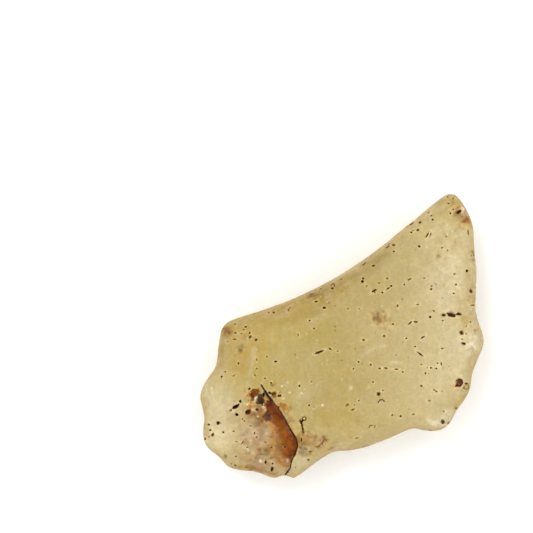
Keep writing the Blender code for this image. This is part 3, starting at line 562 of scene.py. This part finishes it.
# Flecks: spacing and radius in mm, and the share of them that is there, then strength and colour.
FLECKS = [
    ((0.6, 0.17, 0.35), 0.75, (0.92, 0.84, 0.62, 1)),
    ((0.8, 0.16, 0.32), 0.9, (0.3, 0.17, 0.04, 1)),
]
RUST_FLECKS = ((0.42, 0.14, 0.45), 0.55, (0.36, 0.17, 0.075, 1))
FLECK_CORE = 0.4

# The lobe's rust: the noise that breaks it up, how much of that the core takes, and the ranges that
# turn the sums into the shares of the paler stain and of the core.
DAPPLES_ON_MILK = 2.2
RUST_BREAKS = (1.1, 5, 0.5)
STAIN_RANGE = (0.1, 0.95, 0, 0.85)
STAIN_COLOUR = (0.335, 0.142, 0.032, 1)
STAIN_OPACITY = 0.75
CORE_BREAKING = 0.7
CORE_RANGE = (0.12, 0.88)

# The share of light that bare glass lets through, and how much of it milk takes away.
CLEAREST = 0.62
MILKIEST = 0.8

# The white floor, which lies just under the stone, and the lamps: (place, size, power).
FLOOR_SIDE = 4
FLOOR_GAP = 0.02 * MM
LAMPS = {"key": ((-0.25, 0.3, 0.55), 0.35, 1.36), "fill": ((0.35, -0.2, 0.5), 0.4, 0.75)}


def smooth_step(value):
    t = np.clip(value, 0, 1)
    return t * t * (3 - 2 * t)


def inside(out, edge, softness):
    """0 from an edge outward, and rising smoothly to 1 over that softness inward of it."""
    return smooth_step((edge - out) / softness)


def fading(out):
    """1 at the middle of a soft spot, and less and less outward."""
    return np.exp(-SPOT_FADING * out**2)


def blend(old, new, share):
    """Values or colours of the points, with that share of the new one in each."""
    if old.ndim == 2:
        share = share[:, None]
    return old * (1 - share) + np.array(new) * share


def to_plan(u, v):
    """A place in the photograph as x and y at the height of the rim, in metres."""
    return (u - STONE_MIDDLE[0]) * PIXEL, (STONE_MIDDLE[1] - v) * PIXEL


def to_photo(points):
    """Points on the stone as places in the photograph, where higher ones lie farther out."""
    flat = np.array([1, -1]) * points[:, :2] / PIXEL + STONE_MIDDLE
    nearer = CAMERA_ABOVE_RIM / (CAMERA_ABOVE_RIM + RIM_HEIGHT - points[:, 2:])
    return PHOTO_SIDE / 2 + (flat - PHOTO_SIDE / 2) * nearer


def out_of_ellipse(places, u, v, length, width, heading):
    """How far out each place is in an ellipse: 0 at its middle and 1 on its edge."""
    c, s = math.cos(math.radians(heading)), math.sin(math.radians(heading))
    right, up = places[:, 0] - u, v - places[:, 1]
    return np.hypot((right * c + up * s) * 2 / length, (up * c - right * s) * 2 / width)


def nearest_on_line(places, line):
    """For each place: its distance to the line, the share of the line's length there, and its side."""
    line = np.array(line, float)
    start, run = line[:-1], np.diff(line, axis=0)
    length = np.hypot(*run.T)
    away = places[:, None, :] - start
    share = np.clip((away * run).sum(axis=2) / length**2, 0, 1)
    gap = away - share[:, :, None] * run
    distance = np.hypot(gap[:, :, 0], gap[:, :, 1])
    best = distance.argmin(axis=1)
    row = np.arange(len(places))
    begins = np.r_[0, np.cumsum(length)]
    along = (begins[best] + share[row, best] * length[best]) / begins[-1]
    side = np.sign(run[best, 0] * away[row, best, 1] - run[best, 1] * away[row, best, 0])
    return distance[row, best], along, side


def uneven(points, size):
    """Smooth noise around 0, mostly within 0.5, with patches of about that size."""
    return np.array([noise.noise(Vector(p)) for p in points / size])


def on_layer(places, layer):
    """Places in the photograph as points for uneven(), apart from those of the other layers."""
    return np.column_stack([places, np.full(len(places), layer * LAYERS_APART)])


def subdivision_of(node):
    """The node's surface as a subdivision surface that keeps its sharp edges."""
    bm = bmesh.new()
    bm.from_mesh(node.data)
    bmesh.ops.remove_doubles(bm, verts=bm.verts, dist=SAME_POINT)
    crease = bm.edges.layers.float.new("crease_edge")
    for edge in bm.edges:
        if edge.calc_face_angle(0) > math.radians(CREASE_ANGLE):
            edge[crease] = 1
    mesh = bpy.data.meshes.new("glass_surface")
    bm.to_mesh(mesh)
    bm.free()
    stone = bpy.data.objects.new("glass_surface", mesh)
    bpy.context.scene.collection.objects.link(stone)
    reach_corners(stone)
    return stone


def coordinates(vertices):
    found = np.empty(len(vertices) * 3)
    vertices.foreach_get("co", found)
    return found.reshape(-1, 3)


def reach_corners(stone):
    """Moves the stone's points out, so that its smooth surface comes near the solid's own corners."""
    corners = coordinates(stone.data.vertices)
    cage = corners.copy()
    for _ in range(CORNER_ROUNDS):
        bm = evaluated(stone, TARGET_LEVELS)
        bm.verts.ensure_lookup_table()
        smooth = np.array([bm.verts[k].co for k in range(len(corners))])
        bm.free()
        cage += CORNER_REACH * (corners - smooth)
        stone.data.vertices.foreach_set("co", cage.ravel())


def evaluated(stone, levels):
    """The stone's mesh after that many levels of subdivision, as triangles in a bmesh."""
    modifier = stone.modifiers.new("smooth", "SUBSURF")
    modifier.levels = modifier.render_levels = levels
    bm = bmesh.new()
    bm.from_object(stone, bpy.context.evaluated_depsgraph_get())
    stone.modifiers.remove(modifier)
    bmesh.ops.triangulate(bm, faces=bm.faces)
    return bm


def on_top(target, u, v):
    """The surface point and its normal at a place in the photograph."""
    camera = Vector((*to_plan(PHOTO_SIDE / 2, PHOTO_SIDE / 2), RIM_HEIGHT + CAMERA_ABOVE_RIM))
    aim = Vector((*to_plan(u, v), RIM_HEIGHT))
    point, normal, *_ = target.ray_cast(camera, aim - camera)
    if point is None:
        raise ValueError(f"({u}, {v}) is off the stone")
    return point, normal


def hidden_spots(bm, random, count):
    """Seeded places on the faces that look sideways or down: (point, normal)."""
    bm.normal_update()
    faces = [f for f in bm.faces if f.normal.z < HIDDEN_SLOPE]
    areas = np.array([f.calc_area() for f in faces])
    chosen = random.choice(len(faces), count, p=areas / areas.sum())
    return [(np.array(faces[k].calc_center_median()), np.array(faces[k].normal)) for k in chosen]


def rows_of(table):
    """The rows of a table that is kept by tone, with their tone at the end."""
    return [(*row, tone) for tone, rows in table.items() for row in rows]


def fine_places(target, hidden):
    """Where the mesh has to be fine: points, radii and edge lengths, in metres."""
    found = []

    def want(u, v, radius, edge):
        point, _ = on_top(target, u, v)
        found.append((*point, radius * PIXEL, max(edge, FINEST) * PIXEL))

    for u, v, length, width, *_ in rows_of(OPEN_PITS) + rows_of(SMALL_PITS) + WHITE_SPOTS_AND_HIGHLIGHTS:
        want(u, v, length / 2 + MARK_MARGIN, width / STEPS_ACROSS_MARK)
    for spots, edge in ((PATCHES, PATCH_FINENESS), (CLOUDS, CLOUD_FINENESS)):
        for u, v, length, *_ in spots:
            want(u, v, length / 2, edge)
    for _, width, _, points in CRACKS:
        for (u0, v0), (u1, v1) in zip(points, points[1:]):
            steps = max(1, round(math.hypot(u1 - u0, v1 - v0) / CRACK_STEP))
            for k in range(steps + 1):
                u, v = u0 + (u1 - u0) * k / steps, v0 + (v1 - v0) * k / steps
                want(u, v, width, width / STEPS_ACROSS_CRACK)
    for point, _, size in hidden:
        edge = max(size / STEPS_ACROSS_MARK, FINEST)
        found.append((*point, (size / 2 + MARK_MARGIN) * PIXEL, edge * PIXEL))
    found = np.array(found)
    return found[:, :3], found[:, 3], found[:, 4]


def wanted_edge(points, centres, radii, edges):
    """The longest edge that each point allows, from the fine places near it."""
    wanted = np.empty(len(points))
    for start in range(0, len(points), POINTS_AT_ONCE):
        block = points[start : start + POINTS_AT_ONCE]
        squared = (block**2).sum(axis=1)[:, None] + (centres**2).sum(axis=1) - 2 * block @ centres.T
        away = np.sqrt(np.maximum(squared, 0)) - radii
        wanted[start : start + POINTS_AT_ONCE] = (edges + GROWTH * np.maximum(away, 0)).min(axis=1)
    return wanted


def drop_folds(bm):
    """Takes out the pairs of triangles that lie back to back on the same three points."""
    bm.verts.index_update()
    sides = {}
    for face in bm.faces:
        a, b, c = (v.index for v in face.verts)
        forward = (a < b) + (b < c) + (c < a) == 2
        sides.setdefault(frozenset((a, b, c)), ([], []))[forward].append(face)
    folded = [face for back, front in sides.values() for pair in zip(back, front) for face in pair]
    bmesh.ops.delete(bm, geom=folded, context="FACES")


def refine(bm, target, places):
    """Halves the long edges near the fine places, and sets every point on the smooth surface."""
    for _ in range(REFINING_ROUNDS):
        bm.edges.ensure_lookup_table()
        ends = np.array([(*e.verts[0].co, *e.verts[1].co) for e in bm.edges]).reshape(-1, 2, 3)
        length = np.linalg.norm(ends[:, 0] - ends[:, 1], axis=1)
        too_long = np.flatnonzero(length > TOO_LONG * wanted_edge(ends.mean(axis=1), *places))
        if len(too_long) == 0:
            break
        bmesh.ops.subdivide_edges(bm, edges=[bm.edges[k] for k in too_long], cuts=1)
        bmesh.ops.triangulate(bm, faces=[f for f in bm.faces if len(f.verts) > 3])
        drop_folds(bm)
    for vertex in bm.verts:
        vertex.co = target.find_nearest(vertex.co)[0]


class Surface:
    """The fine mesh's points, how far each is moved, and what colours each has."""

    def __init__(self, mesh):
        count = len(mesh.vertices)
        self.points = coordinates(mesh.vertices)
        self.normals = np.empty(count * 3)
        mesh.vertex_normals.foreach_get("vector", self.normals)
        self.normals = self.normals.reshape(-1, 3)
        self.places = to_photo(self.points)
        self.top = self.normals[:, 2] > 0
        self.moved = np.zeros((count, 3))
        self.glass = np.tile(GLASS["straw"][0], (count, 1))
        self.milk = np.zeros(count)
        self.tone = np.zeros((count, 3))
        self.cover = np.zeros(count)
        self.rust = np.zeros(count)
        self.stain = np.zeros(count)
        self.rusty = np.tile(TONES["redbrown"], (count, 1))

    def near(self, u, v, reach):
        away = np.hypot(self.places[:, 0] - u, self.places[:, 1] - v)
        return np.flatnonzero(self.top & (away < reach))

    def around(self, point, normal, reach):
        away = np.linalg.norm(self.points - point, axis=1)
        rows = np.flatnonzero((away < reach) & (self.normals @ normal > SAME_SIDE))
        return rows, away[rows]

    def patchy(self, size, mean, swing):
        """A share for each point that comes and goes in patches of that size, in millimetres."""
        return np.clip(mean + swing * uneven(self.points, size * MM), 0, 1)

    def tint(self, rows, glass, share):
        colour, milk = GLASS[glass]
        self.glass[rows] = blend(self.glass[rows], colour, share)
        self.milk[rows] = blend(self.milk[rows], milk, share)

    def lay(self, rows, tone, share):
        """Lays a tone over what is there. The tone is kept multiplied by its cover."""
        self.tone[rows] = blend(self.tone[rows], TONES[tone], share)
        self.cover[rows] = blend(self.cover[rows], 1, share)

    def shade(self, rows, tone, share):
        """Tints the glass with a tone, which also makes it milky."""
        self.glass[rows] = blend(self.glass[rows], TONES[tone], share)
        self.milk[rows] = blend(self.milk[rows], 1, share)

    def sink(self, rows, normal, depth):
        self.moved[rows] -= np.array(normal) * depth[:, None]


def add_relief(surface):
    for size, height in RELIEF:
        surface.moved += surface.normals * (height * MM * uneven(surface.points, size * MM))[:, None]


def tint_zones(surface):
    raggedness, of_width, least = ZONE_NOISE
    for layer, (u, v, length, width, heading, glass, strength) in enumerate(ZONES):
        out = out_of_ellipse(surface.places, u, v, length, width, heading)
        rows = np.flatnonzero(surface.top & (out < ZONE_REACH))
        noise_places = on_layer(surface.places[rows], layer + ZONE_LAYERS)
        ragged = raggedness * uneven(noise_places, max(of_width * width, least))
        surface.tint(rows, glass, strength * fading(np.maximum(out[rows] + ragged, 0)))


def shade_rim(surface):
    """A tan band along the rim, and an amber line on it, both uneven and both painted shade of the rounded
    edge.
    """
    rim = np.flatnonzero(np.abs(surface.normals[:, 2]) < RIM_SLOPE)
    tree = KDTree(len(rim))
    for k, (u, v) in enumerate(surface.places[rim]):
        tree.insert((u, v, 0), k)
    tree.balance()
    inward = np.array([tree.find((u, v, 0))[2] for u, v in surface.places])
    every = np.arange(len(inward))
    # Painted shade: the darker band and outline that light through the rounded rim gives.
    reach, strength, patches = RIM_SHADE_BAND
    surface.tint(every, "tan", strength * surface.patchy(*patches) * np.exp(-((inward / reach) ** 2)))
    reach, strength, patches = RIM_SHADE_LINE
    surface.lay(every, "amber", strength * surface.patchy(*patches) * inside(inward / reach, *RIM_SHADE_LINE_EDGE))


def right_of(places, edge):
    """1 right of an edge that is listed from the top down, 0 left of it, soft between."""
    edge = np.array(edge)
    distance, along, side = nearest_on_line(places, edge[:, :2])
    reached = np.r_[0, np.cumsum(np.hypot(*np.diff(edge[:, :2], axis=0).T))]
    softness = np.interp(along, reached / reached[-1], edge[:, 2])
    return np.clip(0.5 - side * distance / softness, 0, 1)


def lay_rust(surface):
    """The lobe's rust between its left edge and the ledge, and a painted highlight right of the ledge."""
    distance, _, side = nearest_on_line(surface.places, LEDGE)
    lobe = surface.top & (side > 0)
    surface.rust[lobe] = right_of(surface.places[lobe], RUST_EDGE)
    surface.stain[lobe] = right_of(surface.places[lobe], STAIN_EDGE)
    for *ellipse, tone, strength in RUST_ZONES:
        share = strength * fading(out_of_ellipse(surface.places, *ellipse))
        surface.rusty = blend(surface.rusty, TONES[tone], share)
    # A pale painted highlight on the lit edge of the ledge's higher side.
    off, reach, strength = LEDGE_HIGHLIGHT
    rows = np.flatnonzero((side < 0) & surface.top & (distance < off + reach))
    surface.tint(rows, "pale", strength * smooth_step(1 - np.abs(distance[rows] - off) / reach))


def lay_clouds(surface):
    patchiness, across, least, most = CLOUD_NOISE
    for layer, (u, v, length, width, heading, tone, strength) in enumerate(CLOUDS):
        rows = surface.near(u, v, max(length, width))
        places = surface.places[rows]
        share = strength * fading(out_of_ellipse(places, u, v, length, width, heading))
        noise_size = np.clip(min(length, width) / across, least, most)
        patches = patchiness + patchiness * uneven(on_layer(places, layer), noise_size)
        surface.shade(rows, tone, np.clip(share * patches, 0, 1))


def lay_patches(surface):
    raggedness, noise_size = PATCH_NOISE
    for layer, (u, v, length, width, heading, tone, strength) in enumerate(PATCHES):
        rows = surface.near(u, v, length)
        places = surface.places[rows]
        out = out_of_ellipse(places, u, v, length, width, heading)
        out = out + raggedness * uneven(on_layer(places, layer + PATCH_LAYERS), noise_size)
        surface.lay(rows, tone, strength * inside(out, *PATCH_EDGE))


def out_of_pit(surface, layer, pit):
    """The points near a pit, and how far out each is in its uneven outline."""
    raggedness, of_width, more = PIT_NOISE
    u, v, length, width, heading, _ = pit
    rows = surface.near(u, v, length + 1)
    places = surface.places[rows]
    out = out_of_ellipse(places, u, v, length, width, heading)
    return rows, out + raggedness * uneven(on_layer(places, layer), of_width * width + more)


def bowl(out):
    """The depth of a round hollow, as a share of its greatest."""
    return np.sqrt(np.clip(1 - out**2, 0, 1))


def ring_pits(surface, pits):
    """The pale ring round each pit, and the amber fringe that leans to one side of it."""
    u, v, reach = DIRT
    dirt = np.exp(-(((surface.places - (u, v)) ** 2).sum(axis=1)) / reach**2)
    hidden = np.maximum(np.maximum(surface.rust, dirt), MILK_HIDES * surface.milk)
    glassy = 1 - MOST_HIDDEN * np.minimum(hidden, 1)
    ring_off, ring_reach, ring_strength = PALE_RING
    for layer, pit in enumerate(pits):
        rows, out = out_of_pit(surface, layer, pit)
        u, v, length, width, heading, _ = pit
        turn = layer * FRINGE_TURN
        aside = u + FRINGE_ASIDE * math.cos(turn), v + FRINGE_ASIDE * math.sin(turn)
        out_aside = out_of_ellipse(surface.places[rows], *aside, length, width, heading)
        off, off_aside = (out - 1) * width / 2, (out_aside - 1) * width / 2
        ring = smooth_step(1 - np.abs(off - ring_off) / ring_reach)
        surface.lay(rows, "halo", ring_strength * glassy[rows] * ring)
        surface.lay(rows, "fringe", FRINGE * glassy[rows] * inside(off_aside, *FRINGE_EDGE))


def carve_pits(surface, target, pits, depth_of_width):
    for layer, pit in enumerate(pits):
        rows, out = out_of_pit(surface, layer, pit)
        u, v, _, width, _, tone = pit
        surface.sink(rows, on_top(target, u, v)[1], depth_of_width * width * PIXEL * bowl(out))
        # The pit's tone: dirt and painted shade in its hollow.
        surface.lay(rows, tone, inside(out, *PIT_EDGE))


def carve_cracks(surface):
    for tone, width, depth, points in CRACKS:
        line = np.array(points)
        middle, reach = line.mean(axis=0), np.ptp(line, axis=0).max() + 3 * width
        rows = surface.near(*middle, reach)
        share = inside(nearest_on_line(surface.places[rows], points)[0] / (width / 2), *CRACK_EDGE)
        surface.sink(rows, (0, 0, 1), depth * MM * share)
        # On the ledge this dark tone is stain and painted shade in the gap.
        surface.lay(rows, tone, share)


def carve_hidden(surface, pits, clouds):
    patchiness, noise_size = HIDDEN_CLOUD_NOISE
    for k, (point, normal) in enumerate(clouds):
        tone, strength = HIDDEN_CLOUD_TONES[k % len(HIDDEN_CLOUD_TONES)]
        rows, away = surface.around(point, normal, HIDDEN_CLOUD_REACH * MM)
        patches = 1 + patchiness * uneven(surface.points[rows], noise_size * MM)
        share = strength * np.exp(-((away / (HIDDEN_CLOUD_SIZE * MM)) ** 2)) * patches
        surface.lay(rows, tone, np.clip(share, 0, 1))
    raggedness, of_width, more = HIDDEN_PIT_NOISE
    for k, (point, normal, size) in enumerate(pits):
        rows, away = surface.around(point, normal, size * PIXEL)
        rough = raggedness * uneven(surface.points[rows], (of_width * size + more) * PIXEL)
        out = away / (size / 2 * PIXEL) + rough
        surface.sink(rows, normal, PIT_DEPTH_OF_WIDTH * size * PIXEL * bowl(out))
        surface.lay(rows, HIDDEN_PIT_TONES[k % len(HIDDEN_PIT_TONES)], inside(out, *HIDDEN_PIT_EDGE))


def lay_white_spots_and_highlights(surface):
    # Milky spots, and painted highlights.
    for u, v, length, width, heading, strength in WHITE_SPOTS_AND_HIGHLIGHTS:
        rows = surface.near(u, v, max(length, width) + 1)
        out = out_of_ellipse(surface.places[rows], u, v, length, width, heading)
        surface.lay(rows, "milk", strength * inside(out, *WHITE_EDGE))


def keep_on_points(mesh, name, values):
    """Keeps values, or colours as plain vectors, on the mesh's points."""
    kind, field = ("FLOAT_VECTOR", "vector") if values.ndim == 2 else ("FLOAT", "value")
    attribute = mesh.attributes.new(name, kind, "POINT")
    attribute.data.foreach_set(field, np.ascontiguousarray(values, np.float32).ravel())


def make_stone():
    stone = subdivision_of(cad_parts[NODE])
    smooth = evaluated(stone, TARGET_LEVELS)
    target = BVHTree.FromBMesh(smooth)
    smooth.free()
    bm = evaluated(stone, START_LEVELS)
    random = np.random.default_rng(HIDDEN_SEED)
    sizes = HIDDEN_SIZES[0] + (HIDDEN_SIZES[1] - HIDDEN_SIZES[0]) * random.random(HIDDEN_PITS) ** 3
    pits = [(*spot, size) for spot, size in zip(hidden_spots(bm, random, HIDDEN_PITS), sizes)]
    clouds = hidden_spots(bm, random, HIDDEN_CLOUDS)
    refine(bm, target, fine_places(target, pits))
    mesh = stone.data
    bm.to_mesh(mesh)
    bm.free()
    surface = Surface(mesh)
    add_relief(surface)
    tint_zones(surface)
    shade_rim(surface)
    lay_rust(surface)
    lay_clouds(surface)
    ring_pits(surface, rows_of(OPEN_PITS) + rows_of(SMALL_PITS))
    carve_pits(surface, target, rows_of(OPEN_PITS), 0)
    lay_patches(surface)
    carve_pits(surface, target, rows_of(SMALL_PITS), PIT_DEPTH_OF_WIDTH)
    carve_cracks(surface)
    carve_hidden(surface, pits, clouds)
    lay_white_spots_and_highlights(surface)
    in_box = np.clip(surface.points + surface.moved, *np.array(CAD_BOX))
    mesh.vertices.foreach_set("co", in_box.ravel())
    for name in ("glass", "tone", "rusty", "milk", "cover", "rust", "stain"):
        keep_on_points(mesh, name, getattr(surface, name))
    mesh.shade_smooth()
    mesh.set_sharp_from_angle(angle=math.radians(SHARP_ANGLE))
    print("glass_surface has", len(mesh.polygons), "triangles")
    return stone


class Nodes:
    """A material's nodes, with a short call for each kind that is used."""

    def __init__(self, material):
        material.use_nodes = True
        self.tree = material.node_tree
        self.shader = self.tree.nodes["Principled BSDF"]
        self.output = self.tree.nodes["Material Output"]

    def new(self, kind):
        return self.tree.nodes.new("ShaderNode" + kind)

    def put(self, value, socket):
        if isinstance(value, bpy.types.NodeSocket):
            self.tree.links.new(value, socket)
        else:
            socket.default_value = value

    def maths(self, operation, a, b):
        node = self.new("Math")
        node.operation = operation
        self.put(a, node.inputs[0])
        self.put(b, node.inputs[1])
        return node.outputs[0]

    def times(self, a, b):
        return self.maths("MULTIPLY", a, b)

    def rest_of(self, share):
        return self.maths("SUBTRACT", 1, share)

    def mixed(self, share, a, b, blend_type="MIX"):
        node = self.new("Mix")
        node.data_type = "RGBA"
        node.blend_type = blend_type
        self.put(share, node.inputs[0])
        self.put(a, node.inputs[6])
        self.put(b, node.inputs[7])
        return node.outputs[2]

    def ranged(self, value, low, high, to_low=0, to_high=1):
        node = self.new("MapRange")
        node.interpolation_type = "SMOOTHSTEP"
        for name, amount in zip(("From Min", "From Max", "To Min", "To Max"), (low, high, to_low, to_high)):
            node.inputs[name].default_value = amount
        self.put(value, node.inputs["Value"])
        return node.outputs["Result"]

    def attribute(self, name, output):
        node = self.new("Attribute")
        node.attribute_name = name
        return node.outputs[output]

    def stretched(self, where, factors):
        node = self.new("VectorMath")
        node.operation = "MULTIPLY"
        self.put(where, node.inputs[0])
        node.inputs[1].default_value = factors
        return node.outputs[0]

    def where(self):
        """The place on the stone, in millimetres."""
        return self.stretched(self.new("TexCoord").outputs["Object"], (1 / MM, 1 / MM, 1 / MM))

    def noise(self, where, size, detail, distortion):
        """Noise with patches of about that size, in millimetres."""
        node = self.new("TexNoise")
        node.inputs["Scale"].default_value = 1 / size
        node.inputs["Detail"].default_value = detail
        node.inputs["Distortion"].default_value = distortion
        self.put(where, node.inputs["Vector"])
        return node.outputs["Fac"]

    def pattern(self, name, where):
        kind, used_range = PATTERNS[name]
        return self.ranged(self.noise(where, *kind), *used_range)

    def flecks(self, where, spacing, radius, share):
        """Dots about that far apart, in millimetres. Only that share of them is there, unevenly strong."""
        node = self.new("TexVoronoi")
        node.inputs["Scale"].default_value = 1 / spacing
        self.put(where, node.inputs["Vector"])
        split = self.new("SeparateXYZ")
        self.put(node.outputs["Color"], split.inputs[0])
        strength = self.ranged(split.outputs[0], 1 - share, 1)
        dot = self.ranged(node.outputs["Distance"], FLECK_CORE * radius / spacing, radius / spacing, 1, 0)
        return self.times(strength, dot)


def glass_material():
    """Frosted, milky glass that yellows with depth, and the tones that lie on it."""
    material = bpy.data.materials.new("desert_glass")
    nodes = Nodes(material)
    shader = nodes.shader.inputs
    where = nodes.where()

    # The glass itself: its own colour, with the painted shade of the rim and the painted highlight by the
    # ledge kept in it, and paler clouds, faint streaks, fine mottling and flecks.
    glass = nodes.attribute("glass", "Vector")
    milky = nodes.attribute("milk", "Fac")
    clear_glass = nodes.rest_of(milky)

    def spread(pattern, most, colour):
        return nodes.mixed(nodes.times(nodes.times(pattern, most), clear_glass), glass, colour)

    for name, most, colour in SPREADS:
        glass = spread(nodes.pattern(name, where), most, colour)
    streaks = nodes.pattern("streaks", nodes.stretched(where, STREAK_STRETCH))
    glass = nodes.mixed(1, glass, streaks, "MULTIPLY")
    glass = nodes.mixed(1, glass, nodes.pattern("mottling", where), "MULTIPLY")
    for kind, most, colour in FLECKS:
        glass = spread(nodes.flecks(where, *kind), most, colour)
    lobe = nodes.maths("MAXIMUM", nodes.times(milky, DAPPLES_ON_MILK), nodes.attribute("stain", "Fac"))
    lobe = nodes.maths("MINIMUM", lobe, 1)

    # Rust, broken up by noise: a paler stain, and the dark core on it.
    broken = nodes.maths("SUBTRACT", nodes.noise(where, *RUST_BREAKS), 0.5)
    stain = nodes.maths("ADD", nodes.attribute("stain", "Fac"), broken)
    stain = nodes.ranged(stain, *STAIN_RANGE)
    glass = nodes.mixed(stain, glass, STAIN_COLOUR)
    glass = nodes.mixed(lobe, glass, nodes.pattern("dapples", where), "MULTIPLY")
    core = nodes.maths("ADD", nodes.attribute("rust", "Fac"), nodes.times(broken, CORE_BREAKING))
    core = nodes.ranged(core, *CORE_RANGE)
    rusty = nodes.mixed(1, nodes.attribute("rusty", "Vector"), nodes.pattern("rust", where), "MULTIPLY")
    kind, most, colour = RUST_FLECKS
    rusty = nodes.mixed(nodes.times(nodes.flecks(where, *kind), most), rusty, colour)
    glass = nodes.mixed(core, glass, rusty)

    # Tones laid on the points come multiplied by their cover.
    cover = nodes.attribute("cover", "Fac")
    tone = nodes.mixed(1, nodes.attribute("tone", "Vector"), nodes.pattern("grain", where), "MULTIPLY")
    bare = nodes.mixed(cover, glass, (0, 0, 0, 1))
    nodes.put(nodes.mixed(1, bare, tone, "ADD"), shader["Base Color"])

    # Light passes where the glass is bare, and less where it is milky.
    stained = nodes.maths("MAXIMUM", nodes.times(stain, STAIN_OPACITY), core)
    clear = nodes.times(nodes.rest_of(nodes.maths("MAXIMUM", cover, stained)), CLEAREST)
    clear = nodes.times(clear, nodes.rest_of(nodes.times(milky, MILKIEST)))
    nodes.put(clear, shader["Transmission Weight"])
    nodes.put(nodes.pattern("roughness", where), shader["Roughness"])
    shader["IOR"].default_value = 1.46
    shader["Specular IOR Level"].default_value = 0.1

    bump = nodes.new("Bump")
    bump.inputs["Strength"].default_value = 0.35
    bump.inputs["Distance"].default_value = 0.05 * MM
    nodes.put(nodes.noise(where, *BUMPS), bump.inputs["Height"])
    nodes.put(bump.outputs["Normal"], shader["Normal"])

    volume = nodes.new("VolumeAbsorption")
    volume.inputs["Color"].default_value = (0.78, 0.66, 0.06, 1)
    volume.inputs["Density"].default_value = 70
    nodes.put(volume.outputs[0], nodes.output.inputs["Volume"])
    return material


def make_camera():
    """Straight above the middle of the photograph's frame, far off with a long lens."""
    x, y = to_plan(PHOTO_SIDE / 2, PHOTO_SIDE / 2)
    data = bpy.data.cameras.new("camera")
    data.sensor_width = 36
    data.lens = data.sensor_width * CAMERA_ABOVE_RIM / (PHOTO_SIDE * PIXEL)
    data.clip_start = 0.01
    camera = bpy.data.objects.new("camera", data)
    camera.location = (x, y, RIM_HEIGHT + CAMERA_ABOVE_RIM)
    bpy.context.scene.collection.objects.link(camera)
    bpy.context.scene.camera = camera


def make_floor():
    half = FLOOR_SIDE / 2
    mesh = bpy.data.meshes.new("floor")
    corners = [(-half, -half, 0), (half, -half, 0), (half, half, 0), (-half, half, 0)]
    mesh.from_pydata(corners, [], [(0, 1, 2, 3)])
    floor = bpy.data.objects.new("floor", mesh)
    floor.location = (0, 0, -FLOOR_GAP)
    bpy.context.scene.collection.objects.link(floor)
    material = bpy.data.materials.new("floor")
    shader = Nodes(material).shader
    shader.inputs["Base Color"].default_value = (0.94, 0.94, 0.94, 1)
    shader.inputs["Roughness"].default_value = 0.9
    shader.inputs["Specular IOR Level"].default_value = 0.2
    mesh.materials.append(material)


def make_light():
    """A white studio: an even white surround and two large, round, soft lamps that point at the stone."""
    world = bpy.data.worlds.new("studio")
    world.use_nodes = True
    surround = world.node_tree.nodes["Background"]
    surround.inputs["Color"].default_value = (1, 1, 1, 1)
    surround.inputs["Strength"].default_value = 1.11
    bpy.context.scene.world = world
    for name, (place, size, power) in LAMPS.items():
        data = bpy.data.lights.new(name, "AREA")
        data.shape = "DISK"
        data.size = size
        data.energy = power
        lamp = bpy.data.objects.new(name, data)
        lamp.location = place
        lamp.rotation_euler = (-Vector(place)).to_track_quat("-Z", "Y").to_euler()
        bpy.context.scene.collection.objects.link(lamp)
    bpy.context.scene.view_settings.view_transform = "Standard"


make_camera()
make_light()
make_floor()
stone = make_stone()
stone.data.materials.append(glass_material())
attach(stone, "root")
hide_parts(NODE)
